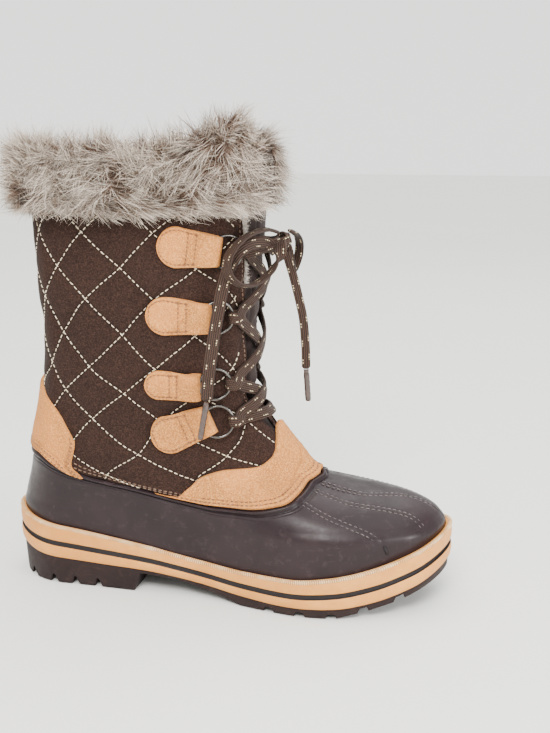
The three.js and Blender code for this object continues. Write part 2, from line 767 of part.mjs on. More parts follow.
const TAB_LEAST = 1.6;
const TAB_ROUND = 0.95;
function tabHalf(tab, along, length) {
  const run = along * length;
  const round = tab.rearHalf * TAB_ROUND;
  const straight = tab.rearHalf + ((tab.frontHalf - tab.rearHalf) * Math.max(0, run - round)) / (length - round);
  const nose = Math.min(1, Math.max(0, 1 - run / round));
  return Math.max(TAB_LEAST, straight * Math.sqrt(Math.max(0, 1 - nose * nose)));
}

const RING_STEPS = 12;
const RING_SIDES = 5;
const RING_SLACK = 0.45;
const RING_REACH = 0.9;
const RING_LIFT = 0.6;
function ringWire(wire) {
  const profile = Array.from({ length: RING_SIDES + 1 }, (_, i) => {
    const angle = (2 * Math.PI * (i % RING_SIDES)) / RING_SIDES;
    return new THREE.Vector2(RING_RADIUS + wire * Math.cos(angle), wire * Math.sin(angle));
  });
  return new THREE.LatheGeometry(profile, RING_STEPS);
}

// Stands a lathed ring (axis +Y) with its back in the fold of its tab and its front over the throat.
function ringPlace(tab, side) {
  const lift = TAB_BASE + FOLD_THICK / 2;
  const back = onSide(side, tab.ringX - RING_RADIUS, tab.ringZ, lift);
  const front = onSide(side, tab.ringX + RING_RADIUS * RING_REACH, tab.ringZ, lift + RING_LIFT);
  const middle = back.clone().lerp(front, 0.5);
  const above = onSide(side, tab.ringX, tab.ringZ + RING_RADIUS, lift);
  const beneath = onSide(side, tab.ringX, tab.ringZ - RING_RADIUS, lift);
  const ahead = front.sub(back).normalize();
  const out = ahead.clone().cross(above.sub(beneath)).normalize();
  const down = ahead.clone().cross(out).normalize();
  return new THREE.Matrix4().makeBasis(ahead, out, down).setPosition(middle);
}

// Shares of a tab's length at which it is cut into facets; the fold starts just after 0.63.
const TAB_ALONG = [0, 0.05, 0.16, 0.36, 0.63, 0.68, 1];
for (const tab of TABS) {
  for (const side of [-1, 1]) {
    const sideName = side < 0 ? 'lateral' : 'medial';
    const length = Math.hypot(tab.frontX - tab.rearX, tab.frontZ - tab.rearZ);
    const foldStart = 1 - FOLD / length;
    const outAt = (along) => (along < foldStart ? TAB_BASE + SUEDE : TAB_BASE + FOLD_THICK);
    const rowsOf = (outOf) => turnsBetween(-1, 1, TAB_ROWS).map((across) => TAB_ALONG.map(
      (along) => tabSpot(tab, side, along, across * tabHalf(tab, along, length), outOf(along)),
    ));
    const place = ringPlace(tab, side);
    const slot = ringWire(RING_WIRE + RING_SLACK).applyMatrix4(place);
    const wire = ringWire(RING_WIRE).applyMatrix4(place);
    const leather = toSolid(wallSolid(rowsOf(outAt), rowsOf(() => TAB_BASE), false));
    addPiece(`tab_${sideName}_${tab.number}`, fromSolid(leather.subtract(toSolid(slot))), SUEDE_TAN);
    addPiece(`ring_${sideName}_${tab.number}`, fromSolid(toSolid(wire)), STEEL);
  }
}

// ---- fur collar ----
const furRise = column(FUR_RUN, 'turn', 'rise');
const furDepth = column(FUR_RUN, 'turn', 'depth');
const furTurns = around.map((turn) => (turn < 0 ? turn + 2 * Math.PI : turn))
  .filter((turn) => turn > FUR_RUN[0].turn && turn < 2 * Math.PI - FUR_RUN[0].turn);
const furTop = Math.max(...FUR_SECTION.map((spot) => spot.z));
const furStrands = FUR_SECTION.map((spot) => furTurns.map((turn) => {
  const level = Math.min(TOP_RING, levelAtHeight(turn, spot.z));
  const out = spot.out > 1 ? 1 + (spot.out - 1) * furDepth(foldTurn(turn)) : spot.out;
  const lifted = Math.max(0, (spot.z - FUR_SHOULDER) / (furTop - FUR_SHOULDER));
  return onLast(turn, level, out).setZ(spot.z + furRise(foldTurn(turn)) * lifted);
}));

// A closed section carried along a row of places, with a flat fan over each end.
function sweptSolid(strands) {
  const sides = strands.length;
  const count = strands[0].length;
  const points = strands.flat();
  const faces = [];
  for (let s = 0; s < sides; s += 1) {
    const t = (s + 1) % sides;
    for (let i = 0; i < count - 1; i += 1) {
      quad(faces, s * count + i, s * count + i + 1, t * count + i + 1, t * count + i);
    }
  }
  const flat = strands.map((strand) => strand[0]);
  const contour = flat.map((_, s) => new THREE.Vector2(FUR_SECTION[s].out, FUR_SECTION[s].z));
  for (const [a, b, c] of THREE.ShapeUtils.triangulateShape(contour, [])) {
    faces.push([a * count, b * count, c * count]);
    const end = count - 1;
    faces.push([c * count + end, b * count + end, a * count + end]);
  }
  return faceOut(meshFrom(points, faces));
}
addPiece('fur_collar', sweptSolid(furStrands), FUR);

// ---- lace: flat bars crossing over the tongue from ring to ring ----
const BAR_OUT = 3.6;
const BAR_REACH = 3.4;
const BAR_WIDEST = 0.97;
const BAR_STEPS = 7;
function ringFront(number, side) {
  const tab = TABS[number - 1];
  const place = ringPlace(tab, side);
  const reach = RING_RADIUS + RING_WIRE + BAR_REACH;
  return new THREE.Vector3(reach, 0, 0).applyMatrix4(place);
}

// A flat band along a row of points, with its face along the normals given.
function ribbon(path, normals, width, thick) {
  const edges = [-0.5, 0.5];
  const row = (edge, out) => path.map((point, i) => {
    const ahead = path[Math.min(i + 1, path.length - 1)].clone().sub(path[Math.max(i - 1, 0)]).normalize();
    const across = normals[i].clone().cross(ahead).normalize();
    const face = ahead.clone().cross(across).normalize();
    return point.clone().addScaledVector(across, edge * width).addScaledVector(face, out * thick);
  });
  return wallSolid(edges.map((edge) => row(edge, 0.5)), edges.map((edge) => row(edge, -0.5)), false);
}

function laceBar(from, to) {
  const path = [];
  const normals = [];
  for (let i = 0; i < BAR_STEPS; i += 1) {
    const share = i / (BAR_STEPS - 1);
    const straight = from.clone().lerp(to, share);
    const spot = sideSpot(straight.y < 0 ? -1 : 1, straight.x, straight.z);
    const level = levelAtHeight(spot.turn, straight.z);
    const half = turnAtHalf(level, Math.min(Math.abs(straight.y), ringAt(level).nose * BAR_WIDEST));
    const turn = Math.sign(straight.y || 1) * half;
    const over = onLast(turn, level, BAR_OUT);
    const hold = i > 0 && i < BAR_STEPS - 1 ? 1 : 0;
    path.push(straight.clone().lerp(over, hold));
    normals.push(lastNormal(turn, level));
  }
  return ribbon(path, normals, LACE_WIDTH, LACE_THICK);
}

const LACED = [
  { from: [4, -1], to: [4, 1] },
  { from: [4, -1], to: [3, 1] },
  { from: [4, 1], to: [3, -1] },
  { from: [3, -1], to: [2, 1] },
  { from: [3, 1], to: [2, -1] },
  { from: [2, -1], to: [1, 1] },
  { from: [2, 1], to: [1, -1] },
  { from: [1, 1], to: [1, -1] },
];
const bars = LACED.map((bar) => toSolid(laceBar(ringFront(...bar.from), ringFront(...bar.to))));
const crossings = bars.reduce((joined, bar) => joined.add(bar));
addPiece('lace_crossings', fromSolid(crossings), LACE);

// ---- bow: knot, loops, hanging ends and their tips ----
const KNOT = new THREE.Vector3(181, 0, 225);
const KNOT_HALF = { x: 6, y: 6.5, z: 6 };
const CORD_RADIUS = 2.1;
const CORD_SIDES = 8;
const CORD_STEP = 8;
const AGLET_RADIUS = 1.9;
const NEAR_LOOP = [
  [177.4, -5.2, 230.8], [173.5, -19, 233], [165.5, -34, 230], [160, -45.5, 223], [158, -50.5, 215],
  [160, -50, 207.5], [165.5, -42, 202], [171, -31, 202], [177, -23, 207], [180.7, -19, 213],
  [182.4, -14.6, 219.5], [181.6, -9.3, 225.6],
];
const FAR_LOOP = [
  [184.6, 6.1, 229.4], [186.3, 14, 228], [187, 22, 222], [186, 26, 214], [184, 25, 207],
  [183, 20, 204], [183, 14, 209], [182.5, 10.6, 216], [181.8, 7.6, 221.2],
];
const NEAR_END = [
  [177.6, -4.2, 218.4], [175.9, -9.4, 221], [174.4, -19.2, 225], [168.4, -31.8, 225.4], [161.6, -40.6, 220.1],
  [157.2, -44, 211], [154, -44.8, 200], [152, -45, 190], [149, -45, 175], [147, -45, 162], [144.5, -44.8, 145],
  [143.2, -44.5, 131.5],
];
const NEAR_AGLET = [[143.1, -44.5, 131], [138.8, -44.5, 107]];
const FAR_END = [
  [182.1, 3.6, 218.4], [184, 5.5, 210], [186.5, 6, 201.5], [190, 6, 188], [192.8, 6, 175], [194.4, 6, 158],
  [194.9, 6, 143],
];
const FAR_AGLET = [[194.95, 6, 142.5], [196.4, 6, 122]];

function cord(route, radius) {
  const curve = new THREE.CatmullRomCurve3(route.map((place) => new THREE.Vector3(...place)));
  const section = new THREE.Shape();
  for (let i = 0; i < CORD_SIDES; i += 1) {
    const angle = (2 * Math.PI * i) / CORD_SIDES;
    const x = radius * Math.cos(angle);
    const y = radius * Math.sin(angle);
    if (i === 0) {
      section.moveTo(x, y);
    } else {
      section.lineTo(x, y);
    }
  }
  section.closePath();
  const steps = Math.max(1, Math.round(curve.getLength() / CORD_STEP));
  const tube = new THREE.ExtrudeGeometry(section, { steps, extrudePath: curve, bevelEnabled: false });
  return fromSolid(toSolid(tube));
}

const knot = new THREE.SphereGeometry(1, 9, 6);
knot.scale(KNOT_HALF.x, KNOT_HALF.y, KNOT_HALF.z);
knot.translate(KNOT.x, KNOT.y, KNOT.z);
addPiece('lace_knot', fromSolid(toSolid(knot)), LACE);
addPiece('lace_loop_near', cord(NEAR_LOOP, CORD_RADIUS), LACE);
addPiece('lace_loop_far', cord(FAR_LOOP, CORD_RADIUS), LACE);
addPiece('lace_end_near', cord(NEAR_END, CORD_RADIUS), LACE);
addPiece('lace_end_far', cord(FAR_END, CORD_RADIUS), LACE);
addPiece('aglet_near', cord(NEAR_AGLET, AGLET_RADIUS), AGLET);
addPiece('aglet_far', cord(FAR_AGLET, AGLET_RADIUS), AGLET);

export default boot;
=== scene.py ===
import math

import bpy
import numpy as np
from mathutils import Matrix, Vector


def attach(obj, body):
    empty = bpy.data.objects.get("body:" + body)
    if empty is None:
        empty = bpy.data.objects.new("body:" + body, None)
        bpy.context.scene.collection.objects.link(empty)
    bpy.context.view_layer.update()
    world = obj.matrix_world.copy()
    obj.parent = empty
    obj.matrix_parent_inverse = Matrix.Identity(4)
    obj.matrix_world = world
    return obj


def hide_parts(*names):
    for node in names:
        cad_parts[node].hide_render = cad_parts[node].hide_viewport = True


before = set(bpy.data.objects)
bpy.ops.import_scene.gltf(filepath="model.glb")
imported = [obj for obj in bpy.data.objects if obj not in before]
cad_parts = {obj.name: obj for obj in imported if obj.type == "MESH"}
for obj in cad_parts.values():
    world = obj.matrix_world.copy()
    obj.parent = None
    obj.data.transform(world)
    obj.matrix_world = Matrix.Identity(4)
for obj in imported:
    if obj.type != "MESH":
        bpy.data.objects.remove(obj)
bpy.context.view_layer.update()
random = np.random.default_rng(7)

# The boot is worked out in millimetres from the back of its heel, as its solids are, and moved to the
# frame, whose origin is the middle of the footprint, when each mesh is made.
MM = 0.001
LENGTH = 290.0
HEEL_BACK = np.array([LENGTH / 2, 0.0, 0.0])

# ---- the last: one row per section ring from the sole edge to the collar ----
# backX, backZ, frontX, frontZ, half widths at heel, waist, ball and nose, share of the foot's curve
RINGS = np.array([
    [2.5, 6, 286.5, 6, 33.5, 33, 49.5, 36, 1],
    [2.5, 45, 286.5, 46, 34, 34.5, 50.5, 36, 1],
    [4, 54, 282.5, 54.5, 33.5, 35.5, 48, 33, 0.95],
    [6, 62, 272, 61.5, 33, 36, 44, 27.5, 0.85],
    [8, 69, 254, 67.5, 32.5, 36, 38.5, 21, 0.7],
    [9.5, 75, 228, 72.5, 32, 36, 33.5, 16, 0.55],
    [11, 82, 204, 79, 32, 36.5, 31.5, 16, 0.4],
    [14, 96, 189, 94, 32.5, 37.5, 32, 18.5, 0.25],
    [18, 111, 174, 111, 33.5, 38.5, 33.5, 21, 0.15],
    [22.5, 131, 164.5, 131, 35, 40, 36.5, 24, 0],
    [24.5, 160, 164, 160, 38, 43, 39.5, 27, 0],
    [24, 190, 166.5, 190, 41, 45.5, 42, 29, 0],
    [22, 222, 169, 222, 42.5, 47, 43.5, 30, 0],
    [21.5, 252, 171, 252, 43, 48, 44, 30.5, 0],
], float)
TOP_RING = len(RINGS) - 1.0
STATION_ALONG = np.array([0, 0.14, 0.42, 0.72, 0.92, 1])
STATION_CURVE = np.array([0, 0, -3, -2.4, 1, 3])
SOLE_HALF = np.array([0, 36.4, 36.2, 53, 39, 0])
# x, top and bottom of the tan sidewall
SIDEWALL = np.array([
    [0, 46.5, 25], [28, 42, 19.4], [60, 38, 17.2], [100, 32.5, 15.4], [135, 26.2, 10.8], [165, 23.8, 7.4],
    [195, 24, 6.2], [222, 27, 7], [247, 32.5, 11], [270, 40.5, 18.5], [290, 49, 28],
])
TREAD = np.array([
    [-4, 9], [2.5, 5.5], [7, 0], [90, 0], [95, 12.5], [118, 11.2], [134, 7], [150, 4.2], [163, 0], [224, 0],
    [241, 4], [262, 10], [285, 19.5], [296, 25],
])
# middle, half width at the mouth and at the root, depth
NOTCHES = [(x, 3, 0.6, 6) for x in (15.5, 33.5, 49, 65)]
NOTCHES += [(x, 3.4, 2, 3.6) for x in (182.5, 202.5, 222, 241, 262)]
RIM = np.array([
    [0, 5.9], [0.5, 5.5], [0.9, 4.5], [1.14, 3.65], [1.35, 3.2], [1.51, 3.2], [1.66, 3.5], [1.92, 4.45],
    [2.11, 5.0], [2.29, 5.6], [2.6, 6.35], [math.pi, 6.4],
])
SADDLE_TOP = np.array([
    [0, 8.0], [0.13, 7.9], [0.33, 7.45], [0.61, 6.75], [0.81, 6.45], [1.03, 6.4], [1.21, 6.15],
    [1.49, 4.9], [1.66, 3.8],
])
HEEL_PATCH_TOP = np.array([
    [2.19, 7.2], [2.23, 7.8], [2.27, 8.15], [2.47, 8.65], [2.75, 9.0], [math.pi, 9.15],
])
THROAT = np.array([[7.9, 11], [9, 14], [10, 15], [11, 19.5], [12.2, 24.5], [13, 26]])
# number, rear x and z, front x and z, half heights at the rear and front, ring's x and z
TABS = [
    (1, 114.3, 225.5, 150.5, 221, 12.5, 9, 152.4, 221),
    (2, 105.9, 183, 144.2, 181, 12, 9.2, 146.8, 181.5),
    (3, 102.7, 139, 136.8, 137.5, 9.3, 8.6, 144.2, 139.5),
    (4, 106, 102.5, 142.8, 117, 12.5, 9, 145.6, 115),
]
FUR_RUN = np.array([
    [0.34, 1, 0.4], [0.47, 13, 0.7], [0.6, 18, 0.9], [0.78, 14, 1], [1.0, 8, 1], [1.3, 2, 1], [1.7, 0, 1],
    [math.pi, 2, 1],
])
SHELL_WALL = 2.8
UPPER_WALL = 3.0
SUEDE = 1.6
RING_RADIUS = 9.9
RING_WIRE = 0.9
TAB_BASE = 0.85
FOLD = 12.5
FOLD_THICK = 5.0
LACE_WIDTH = 7.5
LACE_THICK = 2.2
GROOVE_AT = 0.44
TONGUE_THICK = 2.4
DEEPEST_CREASE = -2.2
QUILT_ROW_HEIGHT = 41.0
# Spacing of the points along a lace, and how far behind a ring's front wire a strand of it starts
LACE_STEP = 1.3
HOOK_BACK = 2.6
# How far the outsole stands in from the ends of the sole
SOLE_INSET = 1.6
# The outsole's lengthwise channel: from x, to x, share of the half width, depth
CHANNEL = (145, 250, 0.1, 3.0)
# Height of the inner sole's edge over the sidewall's bottom, and of its middle over that
INSOLE_LIFT = 5.3
INSOLE_CROWN = 4.5
EDGE_ROUND = 1.1
# Rows of stitches: distance of each from the edge of the saddle, the heel patch and the lace tabs' fold
SADDLE_FOOT = 0.9
SADDLE_LINES = (3.0, 6.6)
HEEL_EDGE = 2.18
HEEL_LINES = (2.6, 5.8)
TAB_INSET = 2.2
TAB_LINES = (6.2, 1.6)
# Pitch, length, width and height of the stitches of each kind
QUILT_STITCH = (3.6, 2.7, 0.62, 0.34)
RIM_STITCH = (3.4, 2.5, 0.8, 0.35)
THROAT_STITCH = (3.0, 2.2, 0.55, 0.3)
MOULD_STITCH = (3.3, 2.5, 0.62, 0.36)
TOE_SLOT = (8.0, 6.8, 2.0, 0.4)
SADDLE_STITCH = (3.0, 1.9, 0.75, 0.3)
HEEL_STITCH = (2.7, 1.7, 0.7, 0.28)
TAB_STITCH = (2.5, 1.75, 0.62, 0.26)


# ---- curves and points of the last, worked out for whole arrays ----
def smooth(xs, ys, at):
    """Smooth curve through a table that never overshoots it; ys may hold a column for each point asked."""
    xs = np.asarray(xs, float)
    ys = np.asarray(ys, float)
    at = np.asarray(at, float)
    x = np.clip(at.ravel(), xs[0], xs[-1])
    column = np.zeros(len(x), int)
    if ys.ndim == 2:
        column = np.arange(len(x))
    else:
        ys = ys[:, None]
    gap = np.diff(xs)[:, None]
    rise = np.diff(ys, axis=0) / gap
    slope = np.zeros_like(ys)
    slope[0] = rise[0]
    slope[-1] = rise[-1]
    before, after = gap[:-1], gap[1:]
    w1 = 2 * after + before
    w2 = after + 2 * before
    same = rise[:-1] * rise[1:] > 0
    low = np.where(same, rise[:-1], 1)
    high = np.where(same, rise[1:], 1)
    slope[1:-1] = np.where(same, (w1 + w2) / (w1 / low + w2 / high), 0)
    i = np.clip(np.searchsorted(xs, x, side="left") - 1, 0, len(xs) - 2)
    width = xs[i + 1] - xs[i]
    t = (x - xs[i]) / width
    u = 1 - t
    ends = (1 + 2 * t) * u * u * ys[i, column] + t * t * (3 - 2 * t) * ys[i + 1, column]
    bow = t * u * width * (u * slope[i, column] - t * slope[i + 1, column])
    return (ends + bow).reshape(at.shape)


def table(rows, at, column=1):
    return smooth(rows[:, 0], rows[:, column], at)


def ease(low, high, value):
    """0 below low, 1 above high, smooth between."""
    t = np.clip((np.asarray(value, float) - low) / (high - low), 0, 1)
    return t * t * (3 - 2 * t)


def bell(gap, width, power=2):
    """1 where a gap is 0, falling off smoothly past a width."""
    return np.exp(-(gap / width) ** power)


STATION_ANGLE = np.arccos(1 - 2 * STATION_ALONG)
RING_INDEX = np.arange(len(RINGS), dtype=float)


def wrap_turn(turn):
    return turn - 2 * math.pi * np.round(turn / (2 * math.pi))


def fold_turn(turn):
    return np.abs(wrap_turn(turn))


def foot_curve(angle):
    return smooth(STATION_ANGLE, STATION_CURVE, angle)


def last_point(turn, level):
    """Point of the last: turn is 0 at the toe, + to the inner side, pi at the heel; level counts rings."""
    turn, level = np.broadcast_arrays(np.asarray(turn, float), np.asarray(level, float))
    shape = turn.shape
    turn = turn.ravel()
    level = level.ravel()
    row = [smooth(RING_INDEX, RINGS[:, k], level) for k in range(9)]
    along = (1 + np.cos(turn)) / 2
    angle = np.arccos(np.clip(1 - 2 * along, -1, 1))
    none = np.zeros_like(level)
    half = smooth(STATION_ANGLE, np.array([none, row[4], row[5], row[6], row[7], none]), angle)
    side = np.where(wrap_turn(turn) >= 0, 1.0, -1.0)
    lift = along * along * (3 - 2 * along)
    x = row[0] + (row[2] - row[0]) * along
    y = side * half + row[8] * foot_curve(angle)
    z = row[1] + (row[3] - row[1]) * lift
    return np.stack([x, y, z], -1).reshape(shape + (3,))


def unit(v):
    return v / np.maximum(np.linalg.norm(v, axis=-1, keepdims=True), 1e-9)


def last_normal(turn, level):
    step = 0.004
    turn, level = np.broadcast_arrays(np.asarray(turn, float), np.asarray(level, float))
    low = np.clip(level, step, TOP_RING - step)
    across = last_point(turn + step, level) - last_point(turn - step, level)
    upward = last_point(turn, low + step) - last_point(turn, low - step)
    return unit(np.cross(across, upward))


def on_last(turn, level, out):
    turn, level = np.broadcast_arrays(np.asarray(turn, float), np.asarray(level, float))
    out = np.broadcast_to(np.asarray(out, float), turn.shape)
    return last_point(turn, level) + last_normal(turn, level) * out[..., None]


def level_at_height(turn, z):
    turn, z = np.broadcast_arrays(np.asarray(turn, float), np.asarray(z, float))
    low = np.zeros(turn.shape)
    high = np.full(turn.shape, TOP_RING)
    for _ in range(18):
        middle = (low + high) / 2
        under = last_point(turn, middle)[..., 2] < z
        low = np.where(under, middle, low)
        high = np.where(under, high, middle)
    return (low + high) / 2


def level_shift(turn, level, length):
    """Level a given length up the surface of the last from another level."""
    steps = 6
    turn, level = np.broadcast_arrays(np.asarray(turn, float), np.asarray(level, float))
    level = level.copy()
    for _ in range(steps):
        ahead = last_point(turn, np.minimum(level + 0.01, TOP_RING))
        behind = last_point(turn, np.maximum(level - 0.01, 0))
        speed = np.linalg.norm(ahead - behind, axis=-1) / 0.02
        level = np.clip(level + length / steps / np.maximum(speed, 1), 0, TOP_RING)
    return level


def turn_at_half(level, half):
    level, half = np.broadcast_arrays(np.asarray(level, float), np.asarray(half, float))
    low = np.zeros(level.shape)
    high = np.full(level.shape, math.pi / 2)
    for _ in range(18):
        middle = (low + high) / 2
        under = last_point(middle, level)[..., 1] < half
        low = np.where(under, middle, low)
        high = np.where(under, high, middle)
    return (low + high) / 2


def side_name(side):
    return "lateral" if side < 0 else "medial"


def side_spot(side, x, z):
    x, z = np.broadcast_arrays(np.asarray(x, float), np.asarray(z, float))
    turn = np.full(x.shape, side * math.pi / 2)
    level = level_at_height(turn, z)
    for _ in range(5):
        back = smooth(RING_INDEX, RINGS[:, 0], level)
        front = smooth(RING_INDEX, RINGS[:, 2], level)
        along = np.clip((x - back) / (front - back), 0, 1)
        turn = side * np.arccos(2 * along - 1)
        level = level_at_height(turn, z)
    return turn, level


def on_side(side, x, z, out):
    turn, level = side_spot(side, x, z)
    return on_last(turn, level, out)


def rim_level(turn):
    return table(RIM, fold_turn(turn))


# ---- meshes ----
def grid_faces(columns, rows, wrap=False):
    """Quads of a grid of rows of columns, facing out when columns run by turn and rows by level."""
    i = np.arange(columns if wrap else columns - 1)
    j = np.arange(rows - 1)[:, None]
    k = (i + 1) % columns
    quads = [j * columns + i, j * columns + k, (j + 1) * columns + k, (j + 1) * columns + i]
    return np.stack(quads, -1).reshape(-1, 4)


def tube_end(base, count):
    """Quads that close the ring of count points that starts at base."""
    k = np.arange(count // 2 - 1)
    return base + np.stack([k, k + 1, count - k - 2, count - k - 1], -1)


def piece(name, points, faces, materials, nodes=(), face_materials=None, values=None, uv=None,
          sharp=None):
    """Makes a mesh object from millimetre points and quads, and hides the CAD nodes it stands for."""
    points = np.asarray(points, float).reshape(-1, 3)
    mesh = bpy.data.meshes.new(name)
    mesh.vertices.add(len(points))
    mesh.vertices.foreach_set("co", ((points - HEEL_BACK) * MM).ravel())
    sides = faces.shape[1]
    mesh.loops.add(faces.size)
    mesh.loops.foreach_set("vertex_index", faces.ravel().astype(np.int32))
    mesh.polygons.add(len(faces))
    mesh.polygons.foreach_set("loop_start", np.arange(0, faces.size, sides, dtype=np.int32))
    mesh.polygons.foreach_set("use_smooth", np.ones(len(faces), bool))
    for material in materials:
        mesh.materials.append(material)
    if face_materials is not None:
        mesh.polygons.foreach_set("material_index", face_materials.astype(np.int32))
    mesh.update(calc_edges=True)
    for key, value in (values or {}).items():
        data = mesh.attributes.new(key, "FLOAT", "POINT").data
        data.foreach_set("value", np.asarray(value, np.float32).ravel())
    if uv is not None:
        layer = mesh.uv_layers.new(name="along")
        layer.data.foreach_set("uv", uv[faces.ravel()].astype(np.float32).ravel())
    if sharp is not None:
        mesh.set_sharp_from_angle(angle=math.radians(sharp))
    thing = bpy.data.objects.new(name, mesh)
    bpy.context.scene.collection.objects.link(thing)
    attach(thing, "root")
    if nodes:
        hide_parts(*nodes)
    return thing


def joined(parts):
    """Joins (points, faces) pairs into one."""
    points = []
    faces = []
    count = 0
    for p, f in parts:
        points.append(p.reshape(-1, 3))
        faces.append(f + count)
        count += len(points[-1])
    return np.vstack(points), np.vstack(faces)


def thinned_back(points, step):
    """Every few rows and columns of a grid, and always its last ones, with faces that look the other way."""
    kept = [np.unique(np.append(np.arange(0, size, step), size - 1)) for size in points.shape[:2]]
    return points[kept[0]][:, kept[1]], grid_faces(len(kept[1]), len(kept[0]))[:, ::-1]


def row_lengths(points, axis):
    """Length run so far along one axis of a grid of points."""
    step = np.linalg.norm(np.diff(points, axis=axis), axis=-1)
    start = np.zeros_like(np.take(step, [0], axis=axis))
    return np.concatenate([start, np.cumsum(step, axis=axis)], axis=axis)


def resampled(path, spacing):
    run = row_lengths(path, 0)
    count = max(2, int(round(run[-1] / spacing)) + 1)
    at = np.linspace(0, run[-1], count)
    return np.stack([np.interp(at, run, path[:, k]) for k in range(path.shape[1])], -1), at


def through(points, spacing):
    """Smooth curve (Catmull-Rom) through given points, at an even spacing."""
    points = np.asarray(points, float)
    ends = np.vstack([2 * points[0] - points[1], points, 2 * points[-1] - points[-2]])
    t = np.linspace(0, 1, 24, endpoint=False)[:, None]
    parts = []
    for i in range(len(points) - 1):
        a, b, c, d = ends[i:i + 4]
        parts.append(0.5 * (2 * b + (c - a) * t + (2 * a - 5 * b + 4 * c - d) * t ** 2
                            + (3 * b - a - 3 * c + d) * t ** 3))
    parts.append(points[-1:])
    return resampled(np.vstack(parts), spacing)[0]


def stitch_beads(path, normals, pitch, length, width, height):
    """One little thread bead per stitch along a path, ends sunk in the cloth."""
    run = row_lengths(path, 0)
    count = int(run[-1] / pitch)
    if count < 1:
        return None
    at = (np.arange(count) + 0.5) * (run[-1] / count)

    def spots(along, values):
        return np.stack([np.interp(along, run, values[:, k]) for k in range(3)], -1)

    place = spots(at, path)
    face = unit(spots(at, normals))
    ahead = unit(spots(at + 0.5, path) - spots(at - 0.5, path))
    across = unit(np.cross(face, ahead))
    ahead = unit(ahead + across * (random.normal(0, 0.06, count)[:, None]))
    across = unit(np.cross(face, ahead))
    stations = np.array([[-0.5, 0.35, -0.75], [-0.3, 1.0, 0.2], [0.3, 1.0, 0.2], [0.5, 0.35, -0.75]])
    sides = 5
    angle = 2 * math.pi * np.arange(sides) / sides
    long = length * random.uniform(0.88, 1.08, count)
    points = np.zeros((count, len(stations), sides, 3))
    for s, (shift, size, lift) in enumerate(stations):
        middle = place + ahead * (shift * long)[:, None] + face * (lift * height)
        for k in range(sides):
            points[:, s, k] = (middle + across * (math.cos(angle[k]) * width / 2 * size)
                               + face * (math.sin(angle[k]) * height * size))
    block = grid_faces(sides, len(stations), wrap=True)
    per = len(stations) * sides
    faces = (block[None] + (np.arange(count) * per)[:, None, None]).reshape(-1, 4)
    return points.reshape(-1, 3), faces


def sewn(turn, level, out, stitch):
    """A row of stitches that lies a given way out from the last, as stitch_beads takes it."""
    return (on_last(turn, level, out), last_normal(turn, level), *stitch)


def stitch_piece(name, runs, material):
    """runs: (path, normals, pitch, length, width, height) of each row of stitches of one thread."""
    parts = [made for made in (stitch_beads(*run) for run in runs) if made is not None]
    points, faces = joined(parts)
    return piece(name, points, faces, [material])


# ---- materials ----
def linear(colour):
    c = np.array(colour, float) / 255
    return tuple(np.where(c <= 0.04045, c / 12.92, ((c + 0.055) / 1.055) ** 2.4)) + (1.0,)


class Shade:
    """A node material with a principled shader and short ways to add what feeds it."""

    def __init__(self, name, roughness=0.6, **values):
        self.material = bpy.data.materials.new(name)
        self.material.use_nodes = True
        self.tree = self.material.node_tree
        self.shader = self.tree.nodes["Principled BSDF"]
        self.shader.inputs["Roughness"].default_value = roughness
        for key, value in values.items():
            self.shader.inputs[key.replace("_", " ")].default_value = value
        self.place = self.node("ShaderNodeTexCoord").outputs["Object"]
        self.height = None

    def node(self, kind, *inputs, **settings):
        made = self.tree.nodes.new(kind)
        for key, value in settings.items():
            setattr(made, key, value)
        for spot, value in inputs:
            socket = made.inputs[spot]
            if isinstance(value, bpy.types.NodeSocket):
                self.tree.links.new(value, socket)
            else:
                socket.default_value = value
        return made

    def noise(self, size_mm, detail=3.0, rough=0.55, stretch=None, distortion=0.0):
        place = self.place
        if stretch is not None:
            place = self.node("ShaderNodeMapping", ("Vector", place), ("Scale", stretch)).outputs[0]
        return self.node("ShaderNodeTexNoise", ("Vector", place), ("Scale", 1 / (size_mm * MM)),
                         ("Detail", detail), ("Roughness", rough), ("Distortion", distortion)).outputs["Fac"]

    def value(self, name):
        return self.node("ShaderNodeAttribute", attribute_name=name).outputs["Fac"]

    def math(self, operation, a, b=0.0, c=0.0, clamp=False):
        return self.node("ShaderNodeMath", (0, a), (1, b), (2, c), operation=operation,
                         use_clamp=clamp).outputs[0]

    def range(self, value, low, high, to_low=0.0, to_high=1.0, soft=False):
        kind = "SMOOTHSTEP" if soft else "LINEAR"
        return self.node("ShaderNodeMapRange", ("Value", value), ("From Min", low), ("From Max", high),
                         ("To Min", to_low), ("To Max", to_high), interpolation_type=kind).outputs[0]

    def mix(self, share, a, b, blend="MIX"):
        made = self.node("ShaderNodeMix", data_type="RGBA", blend_type=blend)
        for spot, value in ((0, share), (6, a), (7, b)):
            if isinstance(value, bpy.types.NodeSocket):
                self.tree.links.new(value, made.inputs[spot])
            else:
                made.inputs[spot].default_value = value
        return made.outputs[2]

    def over(self, tone, share, colour, strength=None):
        """Lays a colour over a tone, by a share that a strength can lower."""
        if strength is not None:
            share = self.math("MULTIPLY", share, strength)
        return self.mix(share, tone, linear(colour))

    def colour(self, socket):
        self.tree.links.new(socket, self.shader.inputs["Base Color"])

    def rough(self, socket):
        self.tree.links.new(socket, self.shader.inputs["Roughness"])

    def bump(self, height, depth_mm, strength=1.0):
        bump = self.node("ShaderNodeBump", ("Height", height), ("Distance", depth_mm * MM),
                         ("Strength", strength))
        if self.height is not None:
            self.tree.links.new(self.height, bump.inputs["Normal"])
        self.height = bump.outputs[0]
        self.tree.links.new(self.height, self.shader.inputs["Normal"])


